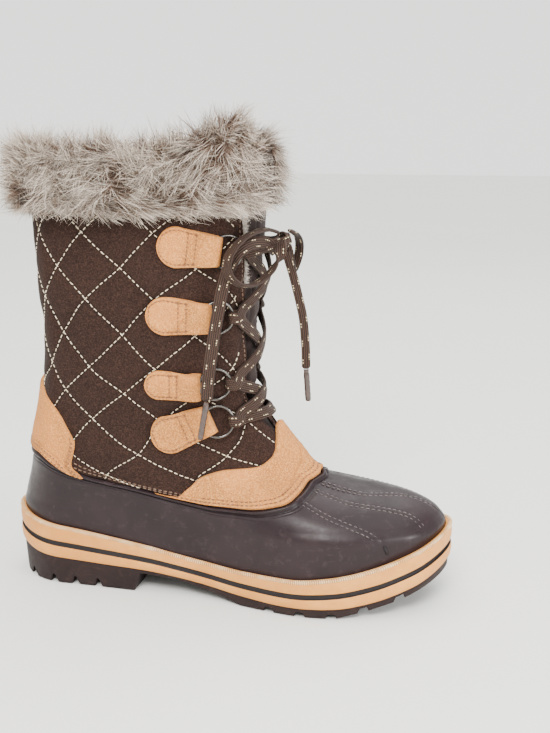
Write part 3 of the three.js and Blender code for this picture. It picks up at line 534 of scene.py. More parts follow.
def suede(name, dark, base, light, nap=0.35):
    """Brushed suede: broad nap patches, fine fibres and a felt sheen; painted shade darkens the stitch
    valleys.
    """
    s = Shade(name, 0.95, Sheen_Weight=nap, Sheen_Roughness=0.6, Specular_IOR_Level=0.15)
    broad = s.range(s.noise(26, 2, 0.5, distortion=0.6), 0.35, 0.68, soft=True)
    fine = s.noise(0.9, 4, 0.7)
    speck = s.range(s.noise(0.38, 2, 0.6), 0.4, 0.72)
    tone = s.mix(broad, linear(dark), linear(base))
    tone = s.over(tone, s.range(fine, 0.46, 0.7), light)
    pit = s.range(s.noise(1.5, 5, 0.75, distortion=0.4), 0.56, 0.7)
    tone = s.over(tone, pit, [c * 0.72 for c in dark], 0.5)
    tone = s.over(tone, speck, [min(255, c * 1.3) for c in light], 0.35)
    # painted shade: darker colour laid into the grooves and stitch valleys, where shade falls
    painted_shade = s.value("painted_shade")
    tone = s.over(tone, painted_shade, [c * 0.55 for c in dark], 0.55)
    s.colour(tone)
    s.bump(s.noise(3.2, 3, 0.6), 0.35, 0.5)
    s.bump(fine, 0.22, 0.8)
    s.bump(s.noise(0.35, 2, 0.6), 0.1, 0.7)
    return s


def rubber(name, dark, base, light, roughness):
    s = Shade(name, roughness, Specular_IOR_Level=0.24)
    cloud = s.range(s.noise(38, 3, 0.6, distortion=0.5), 0.3, 0.7, soft=True)
    tone = s.mix(cloud, linear(dark), linear(base))
    dust = s.range(s.noise(6, 5, 0.75), 0.55, 0.8)
    tone = s.over(tone, dust, light, 0.3)
    scuff = s.range(s.noise(5, 3, 0.6, stretch=(0.25, 0.25, 2.2), distortion=1.2), 0.64, 0.74)
    tone = s.over(tone, scuff, light, 0.22)
    # painted shade in the grooves and notches, and inside the shell's turned-over edge
    tone = s.over(tone, s.value("painted_shade"), [c * 0.45 for c in dark], 0.8)
    s.colour(tone)
    s.rough(s.range(s.noise(9, 4, 0.7), 0.3, 0.7, roughness - 0.07, roughness + 0.12))
    s.bump(s.noise(0.7, 3, 0.6), 0.05, 0.5)
    s.bump(s.noise(7, 3, 0.6), 0.22, 0.35)
    return s


shaft_suede = suede("shaft_suede", (19, 11, 9), (27, 17, 14), (66, 46, 38), 0.02).material
tan_suede = suede("tan_suede", (156, 88, 38), (192, 113, 52), (230, 160, 94), 0.02).material
shell_rubber = rubber("shell_rubber", (32, 22, 25), (40, 28, 31), (88, 74, 76), 0.36).material
tread_rubber = rubber("tread_rubber", (30, 18, 18), (37, 24, 23), (84, 64, 56), 0.6).material
stripe_rubber = rubber("stripe_rubber", (30, 26, 27), (38, 33, 33), (62, 54, 51), 0.5).material


def foxing_rubber():
    s = Shade("foxing_rubber", 0.5, Specular_IOR_Level=0.4)
    cloud = s.range(s.noise(30, 4, 0.65), 0.35, 0.7, soft=True)
    tone = s.mix(cloud, linear((210, 138, 60)), linear((226, 156, 74)))
    dirt = s.range(s.noise(4.5, 6, 0.8), 0.55, 0.78)
    tone = s.over(tone, dirt, (150, 98, 54), 0.28)
    streak = s.range(s.noise(7, 4, 0.7, stretch=(0.3, 0.3, 3)), 0.6, 0.75)
    tone = s.over(tone, streak, (232, 192, 142), 0.25)
    # painted shade in grooves, where the mesh gives any
    tone = s.over(tone, s.value("painted_shade"), (120, 84, 50))
    s.colour(tone)
    s.bump(s.noise(0.8, 3, 0.6), 0.06, 0.6)
    s.bump(s.noise(5, 3, 0.6), 0.2, 0.3)
    return s.material


def thread(name, colour, shade, roughness=0.75):
    s = Shade(name, roughness, Sheen_Weight=0.3)
    tone = s.mix(s.range(s.noise(1.6, 3, 0.6), 0.35, 0.7), linear(shade), linear(colour))
    s.colour(tone)
    s.bump(s.noise(0.3, 2, 0.5, stretch=(1, 1, 3)), 0.08, 0.8)
    return s.material


def rubbed_lip():
    """The sidewall's ribbed lip: paler than the wall, rubbed nearly white in places."""
    s = Shade("rubbed_lip", 0.55, Specular_IOR_Level=0.35)
    tone = s.mix(s.range(s.noise(9, 4, 0.7), 0.4, 0.65), linear((224, 164, 98)), linear((248, 214, 164)))
    # painted shade in the gaps between the lip's ribs
    tone = s.over(tone, s.value("painted_shade"), (132, 92, 54))
    s.colour(tone)
    s.bump(s.noise(0.7, 3, 0.6), 0.1, 0.7)
    return s.material


tan_rubber = foxing_rubber()
lip_rubber = rubbed_lip()
white_thread = thread("white_thread", (246, 232, 206), (222, 200, 166))
hole_thread = thread("hole_thread", (128, 78, 42), (92, 52, 28))
rim_thread = thread("rim_thread", (130, 96, 68), (76, 52, 38))
mould_thread = thread("mould_thread", (104, 92, 90), (60, 50, 50), 0.42)


def wire_metal():
    s = Shade("ring_metal", 0.2, Metallic=1.0)
    s.colour(s.mix(s.noise(3, 3, 0.6), linear((120, 116, 112)), linear((66, 63, 60))))
    s.rough(s.range(s.noise(2, 4, 0.7), 0.3, 0.7, 0.14, 0.34))
    s.bump(s.noise(0.8, 3, 0.6), 0.03, 0.5)
    return s.material


def twill():
    """Tongue cloth: fine diagonal ribs with soft fold shading."""
    s = Shade("tongue_twill", 0.7, Sheen_Weight=0.03, Specular_IOR_Level=0.25)
    ribs = s.node("ShaderNodeTexWave", ("Vector", s.node("ShaderNodeMapping", ("Vector", s.place),
                  ("Rotation", (0.0, math.radians(38), 0.0))).outputs[0]), ("Scale", 520.0),
                  ("Distortion", 1.2), ("Detail", 2.0), ("Detail Scale", 1.5), wave_type="BANDS",
                  bands_direction="Z").outputs["Fac"]
    tone = s.mix(s.range(s.noise(16, 3, 0.6), 0.3, 0.7), linear((34, 25, 23)), linear((48, 36, 34)))
    tone = s.over(tone, s.range(ribs, 0.2, 0.8), (78, 62, 58), 0.35)
    # painted shade in the tongue's stitched channels
    tone = s.over(tone, s.value("painted_shade"), (22, 16, 15), 0.7)
    s.colour(tone)
    s.bump(ribs, 0.22, 0.7)
    s.bump(s.noise(5, 3, 0.6), 0.4, 0.4)
    return s.material


def woven_lace():
    """Flat lace: brown ribs along it, fine cross weave, beige flecks in pairs every 13 mm."""
    s = Shade("lace_weave", 0.62, Sheen_Weight=0.02, Specular_IOR_Level=0.3)
    split = s.node("ShaderNodeSeparateXYZ", ("Vector", s.node("ShaderNodeUVMap", uv_map="along").outputs[0]))
    along, across = split.outputs[0], split.outputs[1]
    rib = s.math("SINE", s.math("MULTIPLY", across, 2 * math.pi / 1.25))
    weave = s.math("SINE", s.math("ADD", s.math("MULTIPLY", along, 2 * math.pi / 0.9),
                                  s.math("MULTIPLY", s.math("ABSOLUTE", across), 2.4)))
    tone = s.mix(s.range(rib, -0.8, 0.8), linear((14, 8, 6)), linear((70, 47, 36)))
    tone = s.over(tone, s.range(weave, 0.0, 1.0), (84, 58, 42), 0.35)
    lane = s.math("COMPARE", s.math("ABSOLUTE", across), 2.0, 0.3)
    shifted = s.math("ADD", along, s.math("MULTIPLY", s.math("SIGN", across), 1.6))
    repeat = s.math("FRACT", s.math("DIVIDE", shifted, 12.0))
    fleck = s.math("MULTIPLY", s.math("LESS_THAN", repeat, 0.3), lane)
    wave = s.math("SINE", s.math("MULTIPLY", along, 2 * math.pi / 1.8))
    fleck = s.math("MULTIPLY", fleck, s.range(wave, -0.3, 0.1))
    tone = s.over(tone, fleck, (246, 226, 184))
    s.colour(tone)
    s.bump(rib, 0.25, 0.8)
    s.bump(weave, 0.16, 0.8)
    return s.material


def fur_fibre(name, root, middle, tip, shade):
    s = Shade(name, 0.62, Specular_IOR_Level=0.3, Sheen_Weight=0.15)
    t = s.value("tip")
    own = s.value("own")
    tone = s.mix(s.range(t, 0.08, 0.5, soft=True), linear(root), linear(middle))
    tone = s.over(tone, s.range(t, 0.36, 0.8, soft=True), tip)
    tone = s.over(tone, s.range(own, 0.42, 0.7, 0.0, 0.9), shade)
    s.colour(tone)
    s.bump(s.noise(0.6, 2, 0.5), 0.03, 0.5)
    clear = s.node("ShaderNodeBsdfTranslucent", ("Color", tone))
    both = s.node("ShaderNodeMixShader", (0, 0.12), (1, s.shader.outputs[0]), (2, clear.outputs[0]))
    s.tree.links.new(both.outputs[0], s.tree.nodes["Material Output"].inputs["Surface"])
    return s.material


def felt(name, dark, light, size):
    s = Shade(name, 1.0, Sheen_Weight=0.4, Specular_IOR_Level=0.1)
    s.colour(s.mix(s.range(s.noise(size, 5, 0.7), 0.35, 0.7), linear(dark), linear(light)))
    s.bump(s.noise(size * 0.6, 4, 0.7), 0.8, 0.8)
    s.bump(s.noise(0.6, 3, 0.7), 0.2, 0.8)
    return s.material


ring_metal = wire_metal()
tongue_cloth = twill()
lace_weave = woven_lace()
collar_fibre = fur_fibre("collar_fibre", (66, 44, 32), (150, 122, 102), (238, 226, 210), (76, 52, 40))
fleece_fibre = fur_fibre("fleece_fibre", (190, 180, 168), (224, 216, 206), (240, 234, 226), (200, 190, 178))
fur_base = felt("fur_base", (92, 70, 56), (150, 126, 108), 3.0)
lining_felt = felt("lining_felt", (84, 66, 58), (120, 98, 88), 4.0)
insole_felt = felt("insole_felt", (148, 138, 126), (186, 176, 162), 3.0)


def aglet_film():
    s = Shade("aglet_film", 0.25, Coat_Weight=0.6, Transmission_Weight=0.25)
    s.colour(s.mix(s.range(s.noise(2.5, 4, 0.6), 0.3, 0.7), linear((44, 28, 22)), linear((82, 56, 46))))
    s.bump(s.noise(1.2, 3, 0.6), 0.12, 0.6)
    return s.material


aglet_plastic = aglet_film()


# ---- camera, light and floor ----
CAMERA_PLACE = (0.1740, -0.6669, 0.2950)
CAMERA_HEADING = math.radians(12.11)
CAMERA_DOWN = math.radians(12.42)
CAMERA_LENS = 54.07
FLOOR_REACH = 6.0
# Name, place, what it aims at, size, power and colour of each lamp
LAMPS = [
    ("key", (0.1, -1.25, 1.25), (0, 0, 0.14), 0.7, 34, (1, 0.985, 0.955)),
    ("fill", (1.25, -0.62, 0.45), (0.05, 0, 0.08), 0.55, 15, (0.98, 0.99, 1)),
    ("back", (0.3, 1.2, 1.2), (0, 0, 0.2), 0.9, 5, (1, 1, 1)),
]
# Height of a direction and how bright the world is there: a dim wall under a bright, sharp-edged ceiling
SKY = [(0.0, 0.38), (0.75, 0.22), (0.7501, 1.0), (1.0, 1.0)]
# Power of the world as light and as the background seen
SKY_POWER = (3.5, 5.4)


def stage():
    scene = bpy.context.scene
    camera = bpy.data.objects.new("camera", bpy.data.cameras.new("camera"))
    scene.collection.objects.link(camera)
    level = math.cos(CAMERA_DOWN)
    ahead = Vector((-math.sin(CAMERA_HEADING) * level, math.cos(CAMERA_HEADING) * level,
                    -math.sin(CAMERA_DOWN)))
    camera.location = CAMERA_PLACE
    camera.rotation_euler = ahead.to_track_quat("-Z", "Y").to_euler()
    camera.data.sensor_fit = "VERTICAL"
    camera.data.sensor_height = 36
    camera.data.lens = CAMERA_LENS
    camera.data.clip_start = 0.01
    scene.camera = camera

    for name, place, aim, size, power, colour in LAMPS:
        light = bpy.data.lights.new(name, "AREA")
        light.shape = "DISK"
        light.size = size
        light.energy = power
        light.color = colour
        thing = bpy.data.objects.new(name, light)
        thing.location = place
        thing.rotation_euler = (Vector(aim) - Vector(place)).to_track_quat("-Z", "Y").to_euler()
        scene.collection.objects.link(thing)

    world = bpy.data.worlds.new("studio")
    scene.world = world
    world.use_nodes = True
    tree = world.node_tree
    back = tree.nodes["Background"]
    back.inputs["Color"].default_value = (0.945, 0.945, 0.925, 1)
    way = tree.nodes.new("ShaderNodeSeparateXYZ")
    tree.links.new(tree.nodes.new("ShaderNodeTexCoord").outputs["Generated"], way.inputs[0])
    fade = tree.nodes.new("ShaderNodeValToRGB")
    fade.color_ramp.interpolation = "EASE"
    stops = fade.color_ramp.elements
    for spot, _ in SKY[1:-1]:
        stops.new(spot)
    for stop, (spot, bright) in zip(stops, SKY):
        stop.position = spot
        stop.color = (bright, bright, bright, 1)
    tree.links.new(way.outputs[2], fade.inputs[0])
    power = tree.nodes.new("ShaderNodeMath")
    power.operation = "MULTIPLY"
    tree.links.new(fade.outputs[0], power.inputs[0])
    seen = tree.nodes.new("ShaderNodeMapRange")
    seen.inputs["To Min"].default_value, seen.inputs["To Max"].default_value = SKY_POWER
    tree.links.new(tree.nodes.new("ShaderNodeLightPath").outputs["Is Camera Ray"], seen.inputs["Value"])
    tree.links.new(seen.outputs[0], power.inputs[1])
    tree.links.new(power.outputs[0], back.inputs["Strength"])

    floor = bpy.data.meshes.new("floor")
    corners = [(x * FLOOR_REACH, y * FLOOR_REACH, 0) for x, y in ((-1, -1), (1, -1), (1, 1), (-1, 1))]
    floor.from_pydata(corners, [], [(0, 1, 2, 3)])
    s = Shade("floor_paint", 0.9)
    s.colour(s.mix(s.noise(400, 2, 0.5), linear((238, 238, 234)), linear((244, 244, 240))))
    floor.materials.append(s.material)
    ground = bpy.data.objects.new("floor", floor)
    scene.collection.objects.link(ground)


stage()


# ---- tabs' and rings' places, which the lace needs ----
def tab_place(tab, side, along, across):
    """Turn and level of a tab's point: along 0 rear to 1 front, across in mm up from its centre line."""
    rear = np.array([tab[1], tab[2]])
    axis = np.array([tab[3], tab[4]]) - rear
    length = np.linalg.norm(axis)
    axis = axis / length
    x = rear[0] + axis[0] * along * length - axis[1] * across
    z = rear[1] + axis[1] * along * length + axis[0] * across
    return side_spot(side, x, z)


def ring_frame(tab, side):
    """Middle of a tab's wire ring with its directions ahead, out and down."""
    lift = TAB_BASE + FOLD_THICK / 2
    x, z = tab[7], tab[8]
    back = on_side(side, x - RING_RADIUS, z, lift)
    front = on_side(side, x + RING_RADIUS * 0.9, z, lift + 0.6)
    above = on_side(side, x, z + RING_RADIUS, lift)
    below = on_side(side, x, z - RING_RADIUS, lift)
    ahead = unit(front - back)
    out = unit(np.cross(ahead, above - below))
    down = unit(np.cross(ahead, out))
    if side < 0:
        out = -out if out[1] > 0 else out
    else:
        out = -out if out[1] < 0 else out
    return (back + front) / 2, ahead, out, down


RING_FRAMES = {(tab[0], side): ring_frame(tab, side) for tab in TABS for side in (-1, 1)}

# ---- laces ----
LACE_RIBS = 6


def lace_section(width, thick, count=30):
    """Flat oval with shallow ribs along both faces, as (across, out) points."""
    angle = 2 * math.pi * np.arange(count) / count
    across = np.sign(np.cos(angle)) * np.abs(np.cos(angle)) ** 0.75 * width / 2
    rib = 1 + 0.16 * np.cos(across / width * 2 * math.pi * LACE_RIBS)
    out = np.sign(np.sin(angle)) * np.abs(np.sin(angle)) ** 0.6 * thick / 2 * rib
    return across, out


def ribbon(path, normals, width, thick, start=0.0):
    """Band along a path with its face along the normals; gives points, faces and uv in millimetres."""
    ahead = unit(np.gradient(path, axis=0))
    side = unit(np.cross(normals, ahead))
    face = unit(np.cross(ahead, side))
    across, out = lace_section(width, thick)
    rows = path[:, None] + side[:, None] * across[None, :, None] + face[:, None] * out[None, :, None]
    taper = np.ones(len(path))
    taper[0] = taper[-1] = 0.55
    rows = path[:, None] + (rows - path[:, None]) * taper[:, None, None]
    run = start + row_lengths(path, 0)
    count = len(across)
    uv = np.stack([np.repeat(run, count), np.tile(across, len(path))], -1)
    faces = grid_faces(count, len(path), wrap=True)[:, ::-1]
    points = rows.reshape(-1, 3)
    ends = [tube_end(0, count), tube_end((len(path) - 1) * count, count)[:, ::-1]]
    return points, np.vstack([faces] + ends), uv


def straight_normals(path, first, last):
    share = np.linspace(0, 1, len(path))[:, None]
    return unit(np.asarray(first) * (1 - share) + np.asarray(last) * share)


def bar_points(a, b, over_start, over_end, lift):
    """Lace strand from ring a to ring b: hooked over or under each ring's front wire, over the tongue."""
    parts = []
    normals = []
    for key, over, first in ((a, over_start, True), (b, over_end, False)):
        middle, ahead, out, _ = RING_FRAMES[key]
        wire = middle + ahead * RING_RADIUS
        height = 2.0 if over else -2.0
        away = out * (1 if over else -1)
        hook = [wire - ahead * HOOK_BACK - away * 0.2, wire - ahead * 1.9 + out * height * 0.62,
                wire + out * height, wire + ahead * 3.4 + out * height * 0.72]
        face = [unit(away * 0.2 - ahead), unit(away - ahead * 0.6), away, away]
        if not over:
            face = [-f for f in face]
        parts.append(hook if first else hook[::-1])
        normals.append(face if first else face[::-1])
    start, end = parts[0][-1], parts[1][0]
    share = np.linspace(0, 1, 9)[1:-1]
    middle_points = []
    middle_normals = []
    for t in share:
        point = start * (1 - t) + end * t
        side = -1 if point[1] < 0 else 1
        level = level_at_height(0.3 * side, point[2])
        nose = smooth(RING_INDEX, RINGS[:, 7], level)
        half = turn_at_half(level, min(abs(point[1]), nose * 0.97))
        turn = side * half
        level = level_at_height(turn, point[2])
        over = on_last(turn, level, 3.0 + lift * math.sin(math.pi * t))
        hold = min(1.0, 2.2 * min(t, 1 - t) + 0.3)
        middle_points.append(point * (1 - hold) + over * hold)
        middle_normals.append(last_normal(turn, level))
    path = np.array(parts[0] + middle_points + parts[1])
    face = np.array(normals[0] + middle_normals + normals[1])
    both = through(np.hstack([path, face]), LACE_STEP)
    return both[:, :3], unit(both[:, 3:])


def lace_piece(name, ribbons, node):
    """One piece of several ribbons."""
    points, faces = joined([made[:2] for made in ribbons])
    uv = np.vstack([made[2] for made in ribbons])
    piece(name, points, faces, [lace_weave], nodes=[node], uv=uv)


def lace_strands():
    strands = []
    plan = [((4, -1), (4, 1), False, False, 0.0)]
    for n in (4, 3, 2):
        plan.append(((n, -1), (n - 1, 1), True, False, 1.2))
        plan.append(((n, 1), (n - 1, -1), True, False, -1.0))
    start = 0.0
    for a, b, over_start, over_end, lift in plan:
        path, face = bar_points(a, b, over_start, over_end, lift)
        strands.append(ribbon(path, face, LACE_WIDTH, LACE_THICK, start))
        start += 57.0
    # from the top rings up to the knot
    for side, reach in ((-1, -5.5), (1, 5.5)):
        middle, ahead, out, _ = RING_FRAMES[(1, side)]
        wire = middle + ahead * RING_RADIUS
        route = [wire - ahead * HOOK_BACK - out * 0.2, wire - ahead * 1.9 + out * 1.2, wire + out * 2.0,
                 wire + ahead * 4 + out * 2.4, [174.0, side * 17.0, 222.6], [178.5, side * 10.0, 224.0],
                 [180.0, reach, 224.6]]
        faces = [unit(out * 0.2 - ahead), unit(out - ahead * 0.6), out, out, unit(out + [0.6, 0, 0]),
                 np.array([1.0, 0, 0.1]), np.array([1.0, 0, 0.1])]
        both = through(np.hstack([np.array(route), np.array(faces)]), LACE_STEP)
        strands.append(ribbon(both[:, :3], unit(both[:, 3:]), LACE_WIDTH, LACE_THICK, start))
        start += 31.0
    lace_piece("lace_strands", strands, "lace_crossings")


lace_strands()

KNOT = np.array([181.0, 0.0, 225.0])
NEAR_LOOP = [
    (177.4, -5.2, 230.8), (173.5, -19, 233), (165.5, -34, 230), (160, -45.5, 223), (158, -50.5, 215),
    (160, -50, 207.5), (165.5, -42, 202), (171, -31, 202), (177, -23, 207), (180.7, -19, 213),
    (182.4, -14.6, 219.5), (181.6, -9.3, 225.6),
]
FAR_LOOP = [
    (184.6, 6.1, 229.4), (186.3, 14, 228), (187, 22, 222), (186, 26, 214), (184, 25, 207), (183, 20, 204),
    (183, 14, 209), (182.5, 10.6, 216), (181.8, 7.6, 221.2),
]
NEAR_END = [
    (177.6, -4.2, 218.4), (175.9, -9.4, 221), (174.4, -19.2, 225), (168.4, -31.8, 225.4),
    (161.6, -40.6, 220.1), (157.2, -44, 211), (154, -44.8, 200), (152, -45, 190), (149, -45, 175),
    (147, -45, 162), (144.5, -44.8, 145), (143.2, -44.5, 131.5),
]
NEAR_AGLET = [(143.1, -44.5, 131), (138.8, -44.5, 107)]
FAR_END = [
    (182.1, 3.6, 218.4), (184, 5.5, 210), (186.5, 6, 201.5), (190, 6, 188), (192.8, 6, 175), (194.4, 6, 158),
    (194.9, 6, 143),
]
FAR_AGLET = [(194.95, 6, 142.5), (196.4, 6, 122)]
# Direction that the broad face of each run of lace turns to, at its start and end.
LACE_FACES = {
    "near_loop": ((0.2, -0.2, 1.0), (-0.5, -0.8, 0.3)),
    "far_loop": ((0.5, -0.2, 0.8), (0.6, -0.6, 0.0)),
    "near_end": ((0.2, -0.95, 0.1), (0.25, -0.97, 0.0)),
    "far_end": ((0.5, -0.85, 0.1), (0.3, -0.95, 0.0)),
}


def loop_normals(path, first, last, middle):
    """Faces of a bow loop: they turn away from the loop's own middle, blended with the ends' directions."""
    away = unit(path - middle)
    share = np.linspace(0, 1, len(path))
    ends = straight_normals(path, first, last)
    hold = (np.sin(math.pi * share) ** 0.5)[:, None]
    return unit(away * hold + ends * (1 - hold))


def lace_run(name, route, normals_of, nodes, width=LACE_WIDTH):
    path = through(route, LACE_STEP)
    points, faces, uv = ribbon(path, normals_of(path), width, LACE_THICK, random.uniform(0, 13))
    made = piece(name, points, faces, [lace_weave], nodes=nodes, uv=uv)
    return made


def lace_tip(name, ends, node):
    """Film-wrapped tip: the lace rolled into a rod with a crimped start."""
    a, b = np.array(ends[0], float), np.array(ends[1], float)
    path = np.linspace(a, b, 26)
    share = np.linspace(0, 1, 26)
    radius = 1.9 - 0.35 * bell(share - 0.06, 0.05) - 0.5 * ease(0.93, 1.0, share)
    radius = radius + 0.06 * np.sin(share * 34)
    ahead = unit(b - a)
    side = unit(np.cross(ahead, [0, 1, 0]))
    face = np.cross(ahead, side)
    count = 16
    angle = 2 * math.pi * np.arange(count) / count
    ring = side * np.cos(angle)[:, None] + face * np.sin(angle)[:, None] * 0.8
    rows = path[:, None] + ring[None] * radius[:, None, None]
    faces = np.vstack([grid_faces(count, len(path), wrap=True)]
                      + [tube_end(base, count) for base in (0, (len(path) - 1) * count)])
    return piece(name, rows, faces, [aglet_plastic], nodes=[node])


near_tip = lace_tip("lace_tip_near", NEAR_AGLET, "aglet_near")
far_tip = lace_tip("lace_tip_far", FAR_AGLET, "aglet_far")
lace_run("bow_loop_near", NEAR_LOOP,
         lambda p: loop_normals(p, *LACE_FACES["near_loop"], np.array([169.0, -32.0, 216.0])),
         ["lace_loop_near"])
lace_run("bow_loop_far", FAR_LOOP,
         lambda p: loop_normals(p, *LACE_FACES["far_loop"], np.array([184.5, 17.0, 216.0])),
         ["lace_loop_far"], width=6.0)
lace_run("bow_end_near", NEAR_END, lambda p: straight_normals(p, *LACE_FACES["near_end"]),
         ["lace_end_near"])
lace_run("bow_end_far", FAR_END, lambda p: straight_normals(p, *LACE_FACES["far_end"]),
         ["lace_end_far"], width=5.5)


def knot():
    """Knot of the bow: two wraps of lace crossing over the middle."""
    runs = []
    for turn_by, tilt, size, start in ((0.25, 0.35, 1.0, 0.0), (1.2, -0.4, 0.86, 5.0)):
        angle = np.linspace(0.2, 2 * math.pi - 0.1, 40)
        across = unit(np.array([0.1, math.cos(turn_by), math.sin(turn_by)]))
        front = unit(np.array([0.9, -0.35, tilt * 0.3]))
        front = unit(front - across * np.dot(front, across))
        path = KNOT + size * (np.outer(np.cos(angle), front) * 4.2 + np.outer(np.sin(angle), across) * 4.9)
        runs.append(ribbon(path, unit(path - KNOT), 6.4, 1.9, start))
    lace_piece("bow_knot", runs, "lace_knot")


knot()


# ---- quilted shaft ----
# Columns of the quilting by turn from the toe, and its rows by height; stitch lines run where
# column + row or column - row is a whole number.
QUILT_COLUMNS = np.array([
    [0, 2.55], [0.3, 2.05], [0.524, 1.5], [0.967, 1.0], [1.35, 0.5], [1.64, 0], [1.965, -0.5], [2.25, -1],
    [2.62, -1.75], [math.pi, -2.5],
])
QUILT_ROWS = np.array([
    [60, -3], [77, -2.5], [92.7, -2], [114, -1.5], [132, -1], [148.3, -0.5], [169.5, 0], [191.4, 0.5],
    [211, 1], [232, 1.5], [254, 2.05],
])
QUILT_SPACING = 29.6
# Soft creases of the shaft: side, x and z of each point, half width, depth (- is a ridge), in mm
CREASES = [
    (-1, [(120, 152), (134, 157), (152, 160)], 5, 0.9),
    (-1, [(96, 148), (110, 143.5), (128, 144)], 5, 0.7),
    (-1, [(104, 124), (120, 121), (138, 124)], 4, 1.0),
    (-1, [(98, 139), (116, 135.5), (140, 139)], 2.6, 0.9),
    (-1, [(136, 92), (144, 100), (150, 111)], 3.2, 1.0),
    (-1, [(128, 78), (138, 86), (147, 90)], 3.0, 0.8),
    (-1, [(112, 127.5), (128, 128.5), (146, 131)], 4, -0.7),
    (-1, [(108, 198), (124, 201), (142, 199)], 6, 0.7),
    (-1, [(30, 150), (44, 146), (60, 151)], 7, 0.8),
    (-1, [(27, 176), (42, 180), (56, 178)], 8, 0.6),
    (-1, [(62, 112), (80, 106), (98, 110)], 7, 0.7),
    (-1, [(56, 92), (72, 96), (90, 99)], 6, -0.6),
    (-1, [(118, 84), (132, 90), (146, 98)], 6, 0.9),
    (1, [(36, 150), (60, 145), (88, 149)], 8, 0.9),
    (1, [(92, 122), (116, 118), (142, 126)], 6, 1.0),
    (1, [(44, 108), (66, 114), (92, 108)], 8, 0.7),
    (1, [(84, 196), (110, 201), (140, 198)], 8, 0.8),
    (1, [(30, 188), (44, 184), (58, 190)], 8, 0.6),
]


def quilt(turn, z):
    column = table(QUILT_COLUMNS, fold_turn(turn))
    row = table(QUILT_ROWS, z)
    column = column + 0.008 * np.sin(z / 7.0) + 0.004 * np.sin(z / 3.1 + 4 * turn)
    return column + row, column - row


def line_gap(value):
    return np.abs(value - np.round(value)) * QUILT_SPACING


def gap_to_path(points, path):
    """Distance from each point to the nearest of a path's points."""
    flat = points.reshape(-1, 3)
    best = np.full(len(flat), 1e9)
    box_low = path.min(0) - 25
    box_high = path.max(0) + 25
    near = ((flat > box_low) & (flat < box_high)).all(1)
    chosen = flat[near]
    if len(chosen):
        gap = np.min(np.linalg.norm(chosen[:, None] - path[None], axis=-1), axis=1)
        best[near] = gap
    return best.reshape(points.shape[:-1])


def crease_paths():
    paths = []
    for side, spots, half, deep in CREASES:
        spots = np.array(spots, float)
        paths.append((through(on_side(side, spots[:, 0], spots[:, 1], 0), 2.0), half, deep))
    return paths


CREASE_PATHS = crease_paths()


def crease_depth(points):
    depth = np.zeros(points.shape[:-1])
    for path, half, deep in CREASE_PATHS:
        depth -= 1.4 * deep * bell(gap_to_path(points, path), half)
    return depth


def throat_edge(level):
    """Turn of the throat's edge at each level, closing to the centre below its foot."""
    edge = turn_at_half(np.maximum(level, THROAT[0, 0]), table(THROAT, level))
    return edge * ease(THROAT[0, 0] - 0.6, THROAT[0, 0] + 0.1, level)


def shaft_surface(turn, level):
    base = last_point(turn, level)
    z = base[..., 2]
    a, b = quilt(turn, z)
    gap_a = line_gap(a)
    gap_b = line_gap(b)
    puff = 1.25 * (1 - bell(gap_a, 4.2, 1.3)) * (1 - bell(gap_b, 4.2, 1.3)) - 0.75
    pucker = 0.16 * np.sin((a - b) * QUILT_SPACING * 2 * math.pi / 5.4) * np.exp(-gap_a / 3.0)
    pucker += 0.16 * np.sin((a + b) * QUILT_SPACING * 2 * math.pi / 5.4) * np.exp(-gap_b / 3.0)
    soft = 0.5 * np.sin(z / 17 + 2 * turn) * np.sin(z / 29 - 3 * turn + 1)
    out = puff + pucker + soft + crease_depth(base)
    # painted shade along the quilting valleys
    painted_shade = bell(np.minimum(gap_a, gap_b), 1.1) * 0.8
    return np.maximum(out, DEEPEST_CREASE), painted_shade


def shaft():
    columns, rows = 384, 152
    share = np.linspace(0, 1, columns)[None, :]
    height = np.linspace(0, 1, rows)[:, None]

    def spread(level_along):
        edge = throat_edge(level_along)[:, None]
        return edge + (2 * math.pi - 2 * edge) * share

    turn = spread(height[:, 0] * (TOP_RING - 6) + 6)
    foot = level_shift(turn, rim_level(turn), -1.5)
    level = foot + (TOP_RING - foot) * height
    turn = spread(level[:, 0])
    out, painted_shade = shaft_surface(turn, level)
    out[:, [0, -1]] -= 1.2
    out = out - 1.6 * (1 - ease(0, 3.5, row_lengths(last_point(turn, level), 0)))
    outer = on_last(turn, level, out)
    wall = on_last(turn, level, -UPPER_WALL)
    face = grid_faces(columns, rows)
    parts = [(outer, face), thinned_back(wall, 4)]
    # the cut edges along the throat
    for k, way in ((0, -1), (columns - 1, 1)):
        parts.append((np.stack([outer[:, k], wall[:, k]], 1), grid_faces(2, rows)[:, ::way]))
    points, faces = joined(parts)
    kinds = np.concatenate([np.zeros(len(face)), np.ones(len(faces) - len(face))])
    values = np.zeros(len(points))
    values[:rows * columns] = painted_shade.ravel()
    piece("quilted_shaft", points, faces, [shaft_suede, lining_felt], nodes=["upper"],
          face_materials=kinds, values={"painted_shade": values}, sharp=60)


